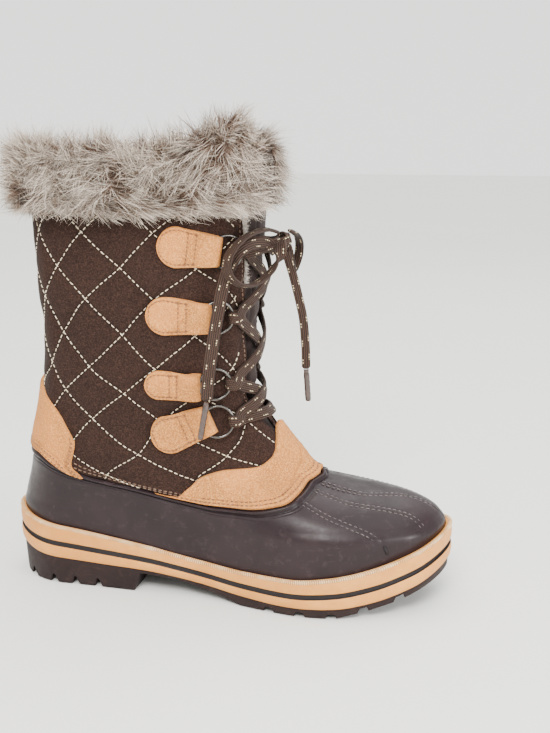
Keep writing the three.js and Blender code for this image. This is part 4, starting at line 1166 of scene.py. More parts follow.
def quilt_runs():
    """Rows of white stitches along every quilting line, on both sides of the boot."""
    runs = []
    fold = QUILT_COLUMNS[::-1]
    column = np.linspace(-2.5, 2.3, 260)
    turn_half = smooth(fold[:, 1], fold[:, 0], column)
    for side in (-1, 1):
        turn = side * turn_half
        for slant in (-1, 1):
            for k in range(-7, 8):
                row = (k - column) if slant > 0 else (column - k)
                z = smooth(QUILT_ROWS[:, 1], QUILT_ROWS[:, 0], row)
                inside = (row > -2.95) & (row < 2.0)
                if inside.sum() < 8:
                    continue
                t = turn[inside]
                level = level_at_height(t, z[inside])
                clear = (level > level_shift(t, rim_level(t), 1.2)) & (np.abs(t) > throat_edge(level) + 0.12)
                if clear.sum() < 8:
                    continue
                t, level, high = t[clear], level[clear], z[inside][clear]
                # settle each point on the quilting line that the valleys follow
                for _ in range(2):
                    a, b = quilt(t, high)
                    value = a if slant > 0 else b
                    miss = value - np.round(value)
                    high = high - slant * miss * QUILT_ROW_HEIGHT
                    level = level_at_height(t, high)
                out, _ = shaft_surface(t, level)
                runs.append(sewn(t, level, out + 0.12, QUILT_STITCH))
    return runs


shaft()
stitch_piece("quilting_stitches", quilt_runs(), white_thread)


def rim_stitches():
    """Double row of darker stitches just above the shell's edge, between the suede patches."""
    runs = []
    for side in (-1, 1):
        turn = side * np.linspace(1.35, 2.42, 220)
        for rise in (4.2, 7.4):
            level = level_shift(turn, rim_level(turn), rise)
            out, _ = shaft_surface(turn, level)
            runs.append(sewn(turn, level, out + 0.1, RIM_STITCH))
    stitch_piece("rim_stitches", runs, rim_thread)


rim_stitches()


def throat_stitches():
    """Row of brown stitches along both edges of the shaft's front opening."""
    runs = []
    for side in (-1, 1):
        level = np.linspace(8.4, TOP_RING - 0.1, 200)
        turn = side * (throat_edge(level) + 0.055)
        out, _ = shaft_surface(turn, level)
        runs.append(sewn(turn, level, out + 0.1, THROAT_STITCH))
    stitch_piece("throat_stitches", runs, rim_thread)


throat_stitches()


# ---- moulded shell ----
# Raised seam lines over the toe, as turn and level of points from the saddle to the sidewall
TOE_SEAMS = [
    [(-0.949, 4.08), (-0.933, 3.10), (-0.862, 2.38), (-0.778, 1.69), (-0.730, 1.02), (-0.698, 0.72)],
    [(-0.706, 4.82), (-0.702, 3.85), (-0.511, 3.18), (-0.403, 2.55), (-0.376, 1.48), (-0.355, 0.91)],
    [(-0.476, 5.31), (-0.458, 4.35), (-0.2, 3.95), (-0.036, 3.5), (0.0, 2.7), (0.01, 1.6), (0.01, 0.95)],
    [(0.706, 4.82), (0.702, 3.85), (0.511, 3.18), (0.403, 2.55), (0.376, 1.48), (0.355, 0.91)],
    [(0.949, 4.08), (0.933, 3.10), (0.862, 2.38), (0.778, 1.69), (0.730, 1.02), (0.698, 0.72)],
]
SEAM_APART = 3.0


def toe_seam_paths():
    pairs = []
    for spots in TOE_SEAMS:
        spots = np.array(spots)
        turn, level = spots.T
        both = through(np.hstack([on_last(turn, level, 0), last_normal(turn, level)]), 0.8)
        path, normals = both[:, :3], unit(both[:, 3:])
        side = unit(np.cross(normals, unit(np.gradient(path, axis=0))))
        pairs.append([(path + side * s * SEAM_APART, normals) for s in (-0.5, 0.5)])
    return pairs


TOE_PATHS = toe_seam_paths()


def shell():
    columns, rows = 440, 100
    turn = (np.arange(columns) * 2 * math.pi / columns)[None, :]
    x = last_point(turn, 1.0)[..., 0]
    foot = level_at_height(turn, table(SIDEWALL, x) - 3.0)
    rim = rim_level(turn)
    share = np.linspace(0, 1, rows)[:, None] ** 0.9
    level = foot + (rim - foot) * share
    turn = np.broadcast_to(turn, level.shape)
    base = last_point(turn, level)
    above = row_lengths(base, 0)
    below = above[-1:] - above
    bead = 1.5 * bell(below - 1.9, 1.35, 4)
    groove = -0.75 * bell(below - 4.6, 0.7) - 0.35 * bell(below - 6.6, 0.6)
    foot_groove = -0.6 * bell(above - 3.6, 0.9)
    wave = 0.35 * np.sin(base[..., 0] / 31 + 1.0) * np.sin(base[..., 2] / 13 + base[..., 0] / 47)
    out = bead + groove + foot_groove + wave
    # painted shade in the groove under the rim bead and in the groove at the foot
    painted_shade = bell(below - 4.6, 0.7) * 0.5 + bell(above - 3.4, 0.7) * 0.6
    for pair in TOE_PATHS:
        for path, _ in pair:
            gap = gap_to_path(base, path)
            out = out - 0.2 * bell(gap, 0.8)
        gap = gap_to_path(base, (pair[0][0] + pair[1][0]) / 2)
        out = out + 0.2 * bell(gap, 0.9)
    outer = on_last(turn, level, out)
    # turned-over top edge, down to the shaft
    lip_level = level[-1:]
    lip_turn = turn[-1:]
    lips = [on_last(lip_turn, lip_level, o) for o in (-0.4, -1.4, -SHELL_WALL)]
    lips.append(on_last(lip_turn, level_shift(lip_turn, lip_level, -5.0), -SHELL_WALL))
    points = np.concatenate([outer] + lips, 0)
    # painted shade inside the turned-over top edge
    values = np.concatenate([painted_shade] + [np.full_like(lip[..., 0], 0.3) for lip in lips], 0)
    piece("shell_skin", points, grid_faces(columns, len(points), wrap=True), [shell_rubber],
          nodes=["shell"], values={"painted_shade": values}, sharp=70)
    runs = []
    for pair in TOE_PATHS:
        for path, normals in pair:
            runs.append((path[:-12] - normals[:-12] * 0.26, normals[:-12], *MOULD_STITCH))
    stitch_piece("toe_moulding", runs, mould_thread)
    # short dark slots moulded at the lower end of the outer pairs
    slots = []
    for pair in (TOE_PATHS[0], TOE_PATHS[-1]):
        for path, normals in pair:
            slots.append((path[-11:] + normals[-11:] * 0.3, normals[-11:], *TOE_SLOT))
    stitch_piece("toe_slots", slots, stripe_rubber)


shell()


# ---- tan sidewall with its dark stripe ----
def sole_edge(turn, inset, height):
    along = (1 + np.cos(turn)) / 2
    angle = np.arccos(np.clip(1 - 2 * along, -1, 1))
    side = np.where(wrap_turn(turn) >= 0, 1.0, -1.0)
    shrink = 1 - 2 * inset / LENGTH
    x = LENGTH / 2 + LENGTH * (along - 0.5) * shrink
    half = smooth(STATION_ANGLE, SOLE_HALF, angle) * (1 - inset / 53.0)
    z = height(x)
    return np.stack([x, side * half + foot_curve(angle), z], -1)


def even_turns(count):
    """Turns that space points evenly along the sole's edge."""
    fine = np.linspace(0, 2 * math.pi, 4001)
    path = sole_edge(fine, 0, lambda x: x * 0)
    run = row_lengths(path, 0)
    return np.interp(np.arange(count) * run[-1] / count, run, fine)


def side_top(x):
    return table(SIDEWALL, x)


def side_bottom(x):
    return table(SIDEWALL, x, 2)


def wall_row(turn, inset, share, lift):
    """Line round the sidewall at a share of its height, lifted and set in by some mm."""
    return sole_edge(turn, inset, lambda x: side_bottom(x) + (side_top(x) - side_bottom(x)) * share + lift)


def sidewall():
    columns = 480
    turn = even_turns(columns)
    # inset, share of the height and lift of each row of the wall, bottom to top
    profile = [(4.0, 0.0, 0.3), (1.6, 0.0, 0.0), (0.7, 0.0, 0.25), (0.25, 0.0, 0.8), (0.05, 0.0, 1.6)]
    lower = [(-0.25 * math.sin(math.pi * s), GROOVE_AT * s, 1.6 * (1 - s) - 2.0 * s)
             for s in np.linspace(0.08, 0.96, 9)]
    grooves = [(0.1, GROOVE_AT, -1.75), (0.45, GROOVE_AT, -1.5), (1.3, GROOVE_AT, -1.15),
               (1.5, GROOVE_AT, 0.0), (1.3, GROOVE_AT, 1.15), (0.45, GROOVE_AT, 1.5), (0.1, GROOVE_AT, 1.75)]
    upper = [(-0.25 * math.sin(math.pi * s), GROOVE_AT + (1 - GROOVE_AT) * s, 2.0 * (1 - s) - 2.2 * s)
             for s in np.linspace(0.04, 1, 9)]
    top = [(0.1, 1.0, -1.4), (0.4, 1.0, -0.75), (1.0, 1.0, -0.35), (2.4, 1.0, -0.2), (4.5, 1.0, -0.5)]
    rows = profile + lower + grooves + upper + top
    points = np.array([wall_row(turn, *row) for row in rows])
    first = len(profile) + len(lower)
    faces = grid_faces(columns, len(rows), wrap=True)
    kinds = np.zeros(len(faces))
    band = np.arange(len(faces)) // columns
    kinds[(band >= first) & (band < first + 6)] = 1
    piece("sidewall_bands", points, faces, [tan_rubber, stripe_rubber], nodes=["midsole"],
          face_materials=kinds, values={"painted_shade": np.zeros(points.shape[:2])}, sharp=50)
    # finely ribbed lip along the top edge
    ribs, per = 500, 4
    columns = ribs * per
    turn = even_turns(columns)
    tooth = np.where(np.arange(columns) % per < per / 2, 1.0, 0.0)
    rows = [(0.0, -2.0, 0.0), (-0.32, -1.75, 0.2), (-0.4, -1.1, 0.3), (-0.1, -0.4, 0.3), (0.9, 0.0, 0.25),
            (2.0, 0.1, 0.2)]
    points = np.array([wall_row(turn, inset + cut * (1 - tooth), 1.0, lift) for inset, lift, cut in rows])
    # painted shade in the gaps between the ribs
    painted_shade = np.broadcast_to((1 - tooth) * 0.75, points.shape[:2])
    piece("sidewall_lip", points, grid_faces(columns, len(rows), wrap=True), [lip_rubber],
          values={"painted_shade": painted_shade})


sidewall()


# ---- lugged outsole ----
def tread_height(x):
    return np.interp(x, TREAD[:, 0], TREAD[:, 1])


def notch_depth(x):
    depth = np.zeros_like(x)
    for middle, mouth, root, deep in NOTCHES:
        gap = np.abs(x - middle)
        depth = np.maximum(depth, deep * np.clip((mouth - gap) / (mouth - root), 0, 1))
    return depth


def outsole():
    stations = list(TREAD[1:-1, 0])
    for middle, mouth, root, _ in NOTCHES:
        stations += [middle - mouth, middle - root, middle + root, middle + mouth]
    ends = LENGTH / 2 - (LENGTH / 2 - SOLE_INSET) * np.cos(np.linspace(0, math.pi, 180))
    x = np.unique(np.round(np.concatenate([stations, ends]), 2))
    x = x[(x > SOLE_INSET) & (x < LENGTH - SOLE_INSET)]
    along = np.clip((x - SOLE_INSET) / (LENGTH - 2 * SOLE_INSET), 0.0005, 0.9995)
    angle = np.arccos(1 - 2 * along)
    half = smooth(STATION_ANGLE, SOLE_HALF, angle)
    middle = foot_curve(angle)
    low = np.maximum(tread_height(x), 0)
    cut = notch_depth(x)
    top = side_bottom(x) + 0.3
    across = np.array([-1, -0.97, -0.9, -0.6, -0.3, -0.12, -0.1, 0, 0.1, 0.12, 0.3, 0.6, 0.9, 0.97, 1])
    first, last, reach, deep = CHANNEL
    channel = ((x > first) & (x < last))[None, :] * (np.abs(across) <= reach)[:, None] * deep
    side_rows = [(1.0, 0.97), (0.85, 0.972), (0.5, 0.965), (0.25, 0.955), (0.08, 0.948)]

    def side_loops(rows, side):
        return [np.stack([x, middle + side * half * size, low + np.maximum(cut, (top - low) * share)], -1)
                for share, size in rows]

    loops = side_loops(side_rows, -1)
    for k, a in enumerate(across):
        edge = 0.54 if abs(a) == 1 else (0.15 if abs(a) > 0.95 else 0.0)
        loops.append(np.stack([x, middle + half * a * 0.94, low + np.maximum(cut, channel[k]) + edge], -1))
    points = np.array(loops + side_loops(side_rows[::-1], 1))
    # the block pulls in a little at heel and toe towards its bottom
    depth = np.clip((top[None, :] - points[..., 2]) / 25, 0, 1)
    points[..., 0] = LENGTH / 2 + (points[..., 0] - LENGTH / 2) * (1 - 0.012 * depth)
    rows, columns = points.shape[:2]
    # painted shade in the notches, deeper where they cut deeper
    painted_shade = np.zeros((rows, columns))
    painted_shade[4:-4] = np.clip(cut / 6, 0, 1) * 0.5
    r = np.arange(rows // 2)
    caps = [np.stack([r, r + 1, rows - 2 - r, rows - 1 - r], -1) * columns + c for c in (0, columns - 1)]
    piece("lugged_outsole", points, np.vstack([grid_faces(columns, rows)] + caps), [tread_rubber],
          nodes=["outsole"], values={"painted_shade": painted_shade}, sharp=28)


outsole()


# ---- tan suede patches ----
def rounded(edge):
    """Share of its full height that suede has at a distance from its edge."""
    return np.sqrt(np.clip(1 - (1 - np.clip(edge / EDGE_ROUND, 0, 1)) ** 2, 0, 1))


def patch(turn, level, base, thick):
    """Raised suede over a grid of the last, rounded down to its base along every edge."""
    ground = last_point(turn, level)
    across = row_lengths(ground, 1)
    upward = row_lengths(ground, 0)
    edge = np.minimum(np.minimum(across, across[:, -1:] - across), np.minimum(upward, upward[-1:] - upward))
    wave = 0.12 * np.sin(ground[..., 0] / 4.3 + ground[..., 2] / 6.1) * ease(1, 5, edge)
    return base + thick * rounded(edge) + wave, ground


def dense(count, power=0.5):
    """Shares from 0 to 1 packed towards both ends."""
    even = np.linspace(0, 1, count)
    packed = (1 - np.cos(even * math.pi)) / 2
    return even * (1 - power) + packed * power


def saddle():
    reach = math.radians(101.5)
    columns, rows = 270, 62
    turn = (reach * (2 * dense(columns, 0.35) - 1))[None, :]
    foot = level_shift(turn, rim_level(turn), SADDLE_FOOT)
    top = np.maximum(table(SADDLE_TOP, fold_turn(turn)), foot + 0.03)
    top = level_shift(turn, top, -3.2 * bell(fold_turn(turn), 0.4))
    level = foot + (top - foot) * dense(rows, 0.6)[:, None]
    turn = np.broadcast_to(turn, level.shape)
    out, ground = patch(turn, level, 0.2, 2.3)
    from_foot = row_lengths(ground, 0)
    # painted shade along the sunk stitch grooves
    painted_shade = np.zeros_like(out)
    for line in SADDLE_LINES:
        out = out - 0.35 * bell(from_foot - line, 0.8)
        painted_shade = np.maximum(painted_shade, 0.5 * bell(from_foot - line, 0.6))
    # the tab at the top of the tongue curls forward
    tab = ease(6.4, 8.0, level) * bell(fold_turn(turn), 0.5, 4)
    out = out + 1.6 * tab ** 2
    # curved fold from the neck of the tab down to the edge rows
    for side in (-1, 1):
        t = side * np.array([0.1, 0.3, 0.55, 0.85, 1.0])
        fold_level = level_shift(t, rim_level(t), np.array([21, 15.5, 11.5, 8.6, 7.6]))
        gap = gap_to_path(ground, through(on_last(t, fold_level, 0), 0.8))
        out = out - 0.5 * bell(gap, 0.8) + 0.35 * bell(gap - 1.8, 1.1)
        # painted shade along the fold's crease
        painted_shade = np.maximum(painted_shade, 0.6 * bell(gap, 0.6))
    points = on_last(turn, level, out)
    piece("saddle_suede", points, grid_faces(columns, rows), [tan_suede], nodes=["saddle"],
          values={"painted_shade": painted_shade})
    runs = []
    for line, limit in zip(SADDLE_LINES, (1.66, 1.52)):
        t = np.linspace(-limit, limit, 500)
        runs.append(sewn(t, level_shift(t, rim_level(t), SADDLE_FOOT + line), 2.3, SADDLE_STITCH))
    stitch_piece("saddle_stitches", runs, hole_thread)


def heel_patch():
    columns, rows = 180, 66
    turn = (HEEL_EDGE + (2 * math.pi - 2 * HEEL_EDGE) * dense(columns, 0.4))[None, :]
    foot = level_shift(turn, rim_level(turn), 0.8)
    drop = 3.6 * bell(fold_turn(turn) - HEEL_EDGE, 0.12)
    foot = level_shift(turn, foot, -drop)
    top = table(HEEL_PATCH_TOP, np.maximum(fold_turn(turn), 2.19))
    level = foot + (top - foot) * dense(rows, 0.6)[:, None]
    turn = np.broadcast_to(turn, level.shape)
    sway = 0.03 * np.sin(level * 2.4) * (1 - ease(0, 0.35, fold_turn(turn) - HEEL_EDGE))
    turn = turn + np.where(wrap_turn(turn) >= 0, 1, -1) * sway
    out, ground = patch(turn, level, 0.25, 2.35)
    over = bell(fold_turn(turn) - HEEL_EDGE, 0.2) * (1 - ease(0, 7, row_lengths(ground, 0)))
    out = out + 1.6 * over
    across = row_lengths(ground, 1)
    from_front = np.minimum(across, across[:, -1:] - across)
    from_foot = row_lengths(ground, 0)
    # painted shade along the sunk stitch grooves
    painted_shade = np.zeros_like(out)
    for line in HEEL_LINES:
        for gap in (from_front - line, from_foot - line - 1.0):
            out = out - 0.3 * bell(gap, 0.8)
            painted_shade = np.maximum(painted_shade, 0.5 * bell(gap, 0.6))
    points = on_last(turn, level, out)
    piece("heel_suede", points, grid_faces(columns, rows), [tan_suede], nodes=["heel_patch"],
          values={"painted_shade": painted_shade})
    runs = []
    run_from_front = row_lengths(points, 1)
    for line in HEEL_LINES:
        for mirrored in (False, True):
            spots = []
            facing = []
            for r in range(6, rows - 3, 2):
                run = run_from_front[r]
                at = line if not mirrored else run[-1] - line
                spots.append([np.interp(at, run, points[r][:, k]) for k in range(3)])
                t = np.interp(at, run, turn[r])
                facing.append(last_normal(t, level[r, 0 if not mirrored else -1]))
            path = np.array(spots) + np.array(facing) * 0.1
            runs.append((path, np.array(facing), *HEEL_STITCH))
        upward = row_lengths(points, 0)
        c = np.arange(10, columns - 10)
        at = line + 1.0
        spots = np.stack([[np.interp(at, upward[:, i], points[:, i, k]) for i in c] for k in range(3)], -1)
        facing = last_normal(turn[0, c], level[6, c])
        runs.append((spots + facing * 0.1, facing, *HEEL_STITCH))
    stitch_piece("heel_stitches", runs, hole_thread)


saddle()
heel_patch()


def tab_half(tab, along, length):
    run = along * length
    round_by = tab[5] * 0.95
    straight = tab[5] + (tab[6] - tab[5]) * np.maximum(0, run - round_by) / (length - round_by)
    nose = np.clip(1 - run / round_by, 0, 1)
    return np.maximum(0.8, straight * np.sqrt(np.maximum(0, 1 - nose * nose)))


def lace_tab(tab, side):
    """Suede tab: sewn flat behind, folded round the ring in front."""
    name = f"{side_name(side)}_{tab[0]}"
    length = math.hypot(tab[3] - tab[1], tab[4] - tab[2])
    columns, rows = 62, 34
    along = dense(columns, 0.5)[None, :]
    across = 2 * dense(rows, 0.5)[:, None] - 1
    half = tab_half(tab, along, length)
    wobble = 1 + 0.015 * np.sin(along * 9 + tab[0] * 2 + side)
    y = across * half * wobble
    turn, level = tab_place(tab, side, along + 0 * y, y)
    along_mm = along * length + 0 * y
    half = half + 0 * y
    edge = np.minimum(half - np.abs(y), along_mm + 0.8)
    rise = rounded(edge)
    fold_at = length - FOLD
    swell = ease(fold_at - 2, fold_at + 7, along_mm)
    thick = SUEDE * 1.15 + (FOLD_THICK - SUEDE) * swell * 0.88
    out = 0.35 + (TAB_BASE - 0.35) * rise + thick * rise
    # the fold's front rounds over the ring's wire
    front = np.clip((along_mm - (length - 2.6)) / 2.6, 0, 1)
    out = out * (1 - front ** 2) + (TAB_BASE + 0.5) * front ** 2
    out = out + 0.18 * np.sin(along_mm / 2.9 + y / 3.7 + tab[0])
    # painted shade along the sunk stitch grooves
    painted_shade = np.zeros_like(out)
    lines = [(np.abs(edge - TAB_INSET), along_mm < fold_at - 0.5)]
    lines += [(np.abs(along_mm - (fold_at - line)), edge > 1) for line in TAB_LINES]
    for gap, where in lines:
        out = out - np.where(where, 0.4 * bell(gap, 0.75), 0)
        painted_shade = np.maximum(painted_shade, np.where(where, 0.55 * bell(gap, 0.6), 0))
    points = on_last(turn, level, out)
    # close the front of the fold back under itself
    under = on_last(turn[:, -1:], level[:, -1:], TAB_BASE * 0.3)
    under = under - unit(points[:, -1:] - points[:, -2:-1]) * 1.5
    points = np.concatenate([points, under], 1)
    # painted shade under the fold's turned-back front
    painted_shade = np.concatenate([painted_shade, np.full((rows, 1), 0.8)], 1)
    faces = grid_faces(columns + 1, rows)
    if side > 0:
        faces = faces[:, ::-1]
    piece(f"suede_tab_{name}", points, faces, [tan_suede], nodes=[f"tab_{name}"],
          values={"painted_shade": painted_shade})
    return tab_stitches(tab, side, length, fold_at)


def tab_stitches(tab, side, length, fold_at):
    runs = []
    start = (fold_at - 1.0) / length
    share = np.linspace(0, 1, 60)
    top_along = start * (1 - share) + (TAB_INSET / length) * share
    half = tab_half(tab, top_along, length) - TAB_INSET
    upper = np.stack([top_along * length, np.maximum(half, 0)], -1)
    outline = np.vstack([upper, (upper * [1, -1])[::-1]])
    outline = resampled(outline, 1.0)[0]
    lines = [outline]
    for at in [fold_at - line for line in TAB_LINES]:
        reach = tab_half(tab, np.array(at / length), length) - 1.4
        y = np.linspace(-reach, reach, 30)
        lines.append(np.stack([np.full(30, at), y], -1))
    for line in lines:
        turn, level = tab_place(tab, side, line[:, 0] / length, line[:, 1])
        lift = TAB_BASE + SUEDE * 1.15 - 0.25 + 0.9 * ease(fold_at - 2, fold_at + 7, line[:, 0])
        runs.append(sewn(turn, level, lift, TAB_STITCH))
    return runs


def wire_ring(key):
    """Round wire ring, with the butt of its wire ends showing."""
    middle, ahead, out, down = RING_FRAMES[key]
    steps, sides = 64, 12
    a = 2 * math.pi * np.arange(steps) / steps
    b = 2 * math.pi * np.arange(sides) / sides
    thick = RING_WIRE * (1 - 0.12 * bell(a - 2.4, 0.05))
    spoke = ahead * np.cos(a)[:, None] + down * np.sin(a)[:, None]
    points = (middle + spoke * RING_RADIUS)[:, None] + thick[:, None, None] * (
        spoke[:, None] * np.cos(b)[None, :, None] + out * np.sin(b)[None, :, None])
    faces = grid_faces(sides, steps + 1, wrap=True) % (steps * sides)
    name = f"{side_name(key[1])}_{key[0]}"
    piece(f"wire_ring_{name}", points, faces, [ring_metal], nodes=[f"ring_{name}"])


tab_runs = []
for tab in TABS:
    for side in (-1, 1):
        tab_runs += lace_tab(tab, side)
        wire_ring((tab[0], side))
stitch_piece("tab_stitches", tab_runs, hole_thread)


# ---- tongue ----
def tongue():
    columns, rows = 84, 150
    level = np.linspace(7.2, TOP_RING, rows)[:, None]
    nose = smooth(RING_INDEX, RINGS[:, 7], level)
    edge = turn_at_half(level, np.minimum(32, nose + 3))
    turn = edge * np.linspace(-1, 1, columns)[None, :]
    ground = last_point(turn, level)
    y, z = ground[..., 1], ground[..., 2]
    open_half = np.maximum(table(THROAT, level) - 4, 1)
    swell = np.clip(1 - (y / open_half) ** 2, 0, 1) * ease(7.9, 8.8, level)
    out = -UPPER_WALL - 1.4 + 3.6 * swell
    # stitched channels beside the middle and slack folds across
    # painted shade in the stitched channels
    painted_shade = np.zeros_like(out)
    for at in (-9.5, 9.5):
        gap = np.abs(y - at - 0.8 * np.sin(z / 23))
        out = out - 0.9 * bell(gap, 1.1) + 0.35 * bell(gap - 2.6, 1.4)
        painted_shade = np.maximum(painted_shade, bell(gap, 0.7))
    folds = [(118, -6, 0.35, 1.0), (131, 4, -0.4, 1.1), (147, -5, 0.5, 1.2), (160, 5, -0.3, 0.9),
             (174, -3, 0.45, 1.1), (189, 4, -0.5, 1.2), (203, -4, 0.3, 0.9), (216, 3, -0.35, 1.0)]
    for high, at, slope, deep in folds:
        gap = (z - high - slope * (y - at)) / 3.4
        out = out - deep * np.exp(-gap ** 2) * bell(y - at, 11)
        out = out + 0.6 * deep * np.exp(-(gap - 1.7) ** 2) * bell(y - at, 11)
    points = on_last(turn, level, out)
    back = on_last(turn, level, out - TONGUE_THICK)
    crown = on_last(turn[-1], level[-1], out[-1] - TONGUE_THICK / 2) + [0, 0, 1.0]
    top = np.stack([points[-1], crown, back[-1]])
    joined_points, faces = joined([(points, grid_faces(columns, rows)), thinned_back(back, 3),
                                   (top, grid_faces(columns, 3))])
    values = np.zeros(len(joined_points))
    values[:points.size // 3] = painted_shade.ravel()
    piece("tongue_cloth", joined_points, faces, [tongue_cloth], nodes=["tongue"],
          values={"painted_shade": values})


tongue()


# ---- insole ----
def insole():
    columns, rows = 120, 26
    turn = (np.arange(columns) * 2 * math.pi / columns)[None, :]
    x = last_point(turn, 1.0)[..., 0]
    level = level_at_height(turn, side_bottom(x) + INSOLE_LIFT)
    rim = on_last(turn, level, -SHELL_WALL - 0.6)[0]
    curve = foot_curve(np.arccos(np.clip(1 - 2 * rim[:, 0] / LENGTH, -1, 1)))
    spine = np.stack([rim[:, 0], curve, rim[:, 2]], -1)
    loops = [rim]
    for share in np.linspace(0, 1, rows - 1):
        point = spine + (rim - spine) * (1 - share ** 1.1) * 0.985
        point[:, 2] = side_bottom(point[:, 0]) + INSOLE_LIFT + INSOLE_CROWN
        point[:, 2] -= 0.78 * math.sin(math.pi * min(share * 1.5, 1)) + (1.0 if share == 0 else 0.0)
        loops.append(point)
    points = np.array(loops)
    piece("insole_felt", points, grid_faces(columns, len(loops), wrap=True), [insole_felt],
          nodes=["insole"])


insole()


# ---- fur collar ----
FUR_CORE = np.array([
    [0.4, 247.5], [4.5, 246.5], [7.5, 252], [8.2, 262], [7.0, 271], [3.0, 276.5], [-1.5, 275], [-4.5, 266],
    [-4.2, 253.5],
])
FUR_SEGMENTS = 4
HAIR_WIDTH = 0.31
OUTER_HAIRS = 8300
TOP_HAIRS = 2700
FLEECE_HAIRS = 1500
# Share by which hairs of a tuft are drawn to its tip
FUR_GATHER = 0.6
FUR_LOWEST = np.array([-9.0, -75.0, 236.0])
FUR_HIGHEST = np.array([290.0, 75.0, 308.0])


def fur_place(turn, run):
    """Point of the collar's padded core; run goes 0 at its lower outer edge, over the top, to 1 inside."""
    depth = table(FUR_RUN, fold_turn(turn), 2)
    rise = table(FUR_RUN, fold_turn(turn), 1)
    share = np.linspace(0, 1, len(FUR_CORE))
    out = np.interp(run, share, FUR_CORE[:, 0])
    z = np.interp(run, share, FUR_CORE[:, 1])
    out = np.where(out > 1, 1 + (out - 1) * depth, out)
    lifted = np.clip((z - 255) / 22, 0, 1)
    level = np.minimum(TOP_RING, level_at_height(turn, np.minimum(z, 252)))
    point = on_last(turn, level, out)
    rise = rise * np.where(wrap_turn(turn) > 0, 0.5, 1.0) + 2.0
    point[..., 2] = z + rise * lifted
    return point


def fur_core():
    columns, rows = 150, 26
    start = 0.36
    run, turn = np.meshgrid(np.linspace(0, 1, rows), np.linspace(start, 2 * math.pi - start, columns),
                            indexing="ij")
    points = fur_place(turn.ravel(), run.ravel()).reshape(rows, columns, 3)
    points = points + random.normal(0, 0.35, points.shape)
    piece("fur_backing", points, grid_faces(columns, rows), [fur_base], nodes=["fur_collar"])


def hairs(name, root, way, length, pull, bend, width, own, material, seed):
    """Flat tapered hairs from their roots, drawn off line by pull and bent by bend."""
    rng = np.random.default_rng(seed)
    count = len(root)
    t = np.linspace(0, 1, FUR_SEGMENTS + 1)
    line = (root[:, None] + way[:, None] * (length[:, None] * t)[..., None]
            + pull[:, None] * (t ** 1.6)[None, :, None] + bend[:, None] * (t ** 2)[None, :, None])
    flat = unit(np.cross(way, rng.normal(0, 1, (count, 3))))
    taper = np.array([1.0, 0.98, 0.85, 0.55, 0.15])
    half = width / 2 * (0.65 + 0.7 * rng.random(count))
    spread = flat[:, None] * (half[:, None] * taper)[..., None]
    points = np.stack([line - spread, line + spread], 2).reshape(-1, 3)
    per = 2 * (FUR_SEGMENTS + 1)
    base = np.arange(FUR_SEGMENTS)[:, None] * 2 + np.array([0, 1, 3, 2])
    faces = (base[None] + (np.arange(count) * per)[:, None, None]).reshape(-1, 4)
    shape = (count, FUR_SEGMENTS + 1, 2)
    tips = np.broadcast_to(t[None, :, None], shape).ravel()
    owns = np.broadcast_to(own[:, None, None], shape).ravel()
    piece(name, points, faces, [material], values={"tip": tips, "own": owns})


# How the fur lies by place round the collar's section: run, stand-off, rise, shortest, longest mm
FUR_LIE = np.array([
    [0.0, 0.28, -0.16, 10, 20], [0.15, 0.30, -0.2, 12, 24], [0.3, 0.30, -0.05, 15, 29],
    [0.45, 0.36, 0.25, 15, 29], [0.6, 0.75, 0.25, 13, 23], [0.8, 0.9, -0.1, 10, 18], [1.0, 0.9, 0.0, 8, 13],
])


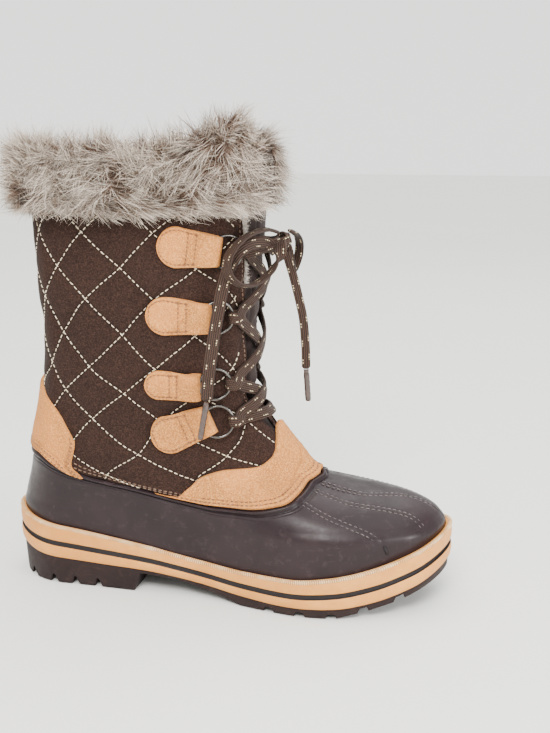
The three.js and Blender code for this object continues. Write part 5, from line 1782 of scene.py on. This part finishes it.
def fur_strands(name, turns, runs, count, seed):
    """Tousled hairs lying along the collar, drawn together in small tufts that sweep different ways."""
    rng = np.random.default_rng(seed)
    turn = rng.uniform(turns[0], turns[1], count)
    run = rng.uniform(runs[0], runs[1], count)
    root = fur_place(turn, run)
    round_way = unit(fur_place(turn + 0.01, run) - root)
    up_way = unit(fur_place(turn, np.minimum(run + 0.01, 1.0)) - fur_place(turn, np.maximum(run - 0.01, 0)))
    normal = unit(np.cross(round_way, up_way))
    tufts = int(max(20, count / 32))
    pick = rng.choice(count, tufts, replace=False)
    middle = root[pick]
    nearest = np.zeros(count, int)
    for block in range(0, count, 2000):
        gap = ((root[block:block + 2000, None] - middle[None]) ** 2).sum(-1)
        nearest[block:block + 2000] = gap.argmin(1)
    place = middle / 17.0
    drift = np.sin(place[:, [1, 2, 0]] * 2.1 + np.array([0.3, 1.7, 4.0])) + np.sin(
        place[:, [2, 0, 1]] * 1.3 + np.array([2.0, 5.1, 0.7]))
    swing = rng.normal(0, 1, (tufts, 3)) * np.array([0.6, 0.4, 0.2]) + drift * np.array([0.7, 0.3, 0.1])
    swing = swing[nearest]
    stand = table(FUR_LIE, run)
    rise = table(FUR_LIE, run, 2)
    way = (normal * (stand + swing[:, 2] * 0.5)[:, None] + round_way * swing[:, 0:1]
           + up_way * (rise + swing[:, 1])[:, None])
    way = unit(way + rng.normal(0, 0.17, (count, 3)))
    shortest, longest = table(FUR_LIE, run, 3), table(FUR_LIE, run, 4)
    length = shortest + (longest - shortest) * rng.beta(2.0, 2.0, count)
    length = length * rng.uniform(0.75, 1.15, tufts)[nearest]
    length = length * (0.5 + 0.5 * table(FUR_RUN, fold_turn(turn), 2))
    tip = root + way * length[:, None]
    tuft_tip = middle + way[pick] * length[pick][:, None]
    pull = (tuft_tip[nearest] - tip) * FUR_GATHER * rng.random(count)[:, None]
    bend = rng.normal(0, 0.13, (count, 3)) * length[:, None]
    bend[:, 2] -= 0.12 * length * np.linalg.norm(way[:, :2], axis=1)
    own = np.clip(0.35 * rng.random(tufts)[nearest] + 0.65 * rng.random(count), 0, 1)
    # nothing falls far below the collar's edge
    wave = 1.6 * np.sin(turn * 7 + 0.6) + 1.2 * np.sin(turn * 17 + 2) + 1.0 * np.sin(turn * 41)
    lowest = fur_place(turn, run * 0)[:, 2] - 1.5 - wave - 9 * rng.random(count) ** 2.2
    fall = root[:, 2] + way[:, 2] * length + pull[:, 2] + bend[:, 2]
    bend[:, 2] += np.maximum(0, lowest - fall)
    # and none reaches past the room the collar has
    end = root + way * length[:, None] + pull + bend
    bend += np.clip(end, FUR_LOWEST, FUR_HIGHEST) - end
    hairs(name, root, way, length, pull, bend, HAIR_WIDTH, own, collar_fibre, seed + 100)


fur_core()
FUR_ENDS = (0.37, 2 * math.pi - 0.37)
HAIR_SHARE = 1.0
for number, (label, low, high) in enumerate([("medial", FUR_ENDS[0], 1.7), ("back", 1.7, 3.7),
                                             ("heel", 3.7, 4.7), ("lateral", 4.7, FUR_ENDS[1])]):
    fur_strands(f"fur_outer_{label}", (low, high), (0.0, 0.6), int(OUTER_HAIRS * HAIR_SHARE), 11 + number)
    fur_strands(f"fur_top_{label}", (low, high), (0.5, 1.0), int(TOP_HAIRS * HAIR_SHARE), 21 + number)


def fleece(side):
    """Strip of cream fleece lining that shows past the shaft's edge beside the tongue."""
    rng = np.random.default_rng(40 + side)
    count = int(FLEECE_HAIRS * HAIR_SHARE)
    level = rng.uniform(11.3, TOP_RING, count)
    edge = throat_edge(level)
    turn = side * (edge - rng.uniform(-0.01, 0.035, count))
    root = on_last(turn, level, rng.uniform(-3.4, -0.6, count))
    normal = last_normal(turn, level)
    inward = unit(on_last(turn - side * 0.02, level, 0) - on_last(turn, level, 0))
    way = normal * rng.uniform(0.1, 1.0, count)[:, None] + inward * rng.uniform(0.1, 0.7, count)[:, None]
    way = unit(way + rng.normal(0, 0.45, (count, 3)))
    length = rng.uniform(1.6, 3.6, count)
    still = np.zeros((count, 3))
    hairs(f"fleece_{side_name(side)}", root, way, length, still, rng.normal(0, 0.3, (count, 3)), 0.3,
          rng.random(count), fleece_fibre, 50 + side)


fleece(-1)
fleece(1)
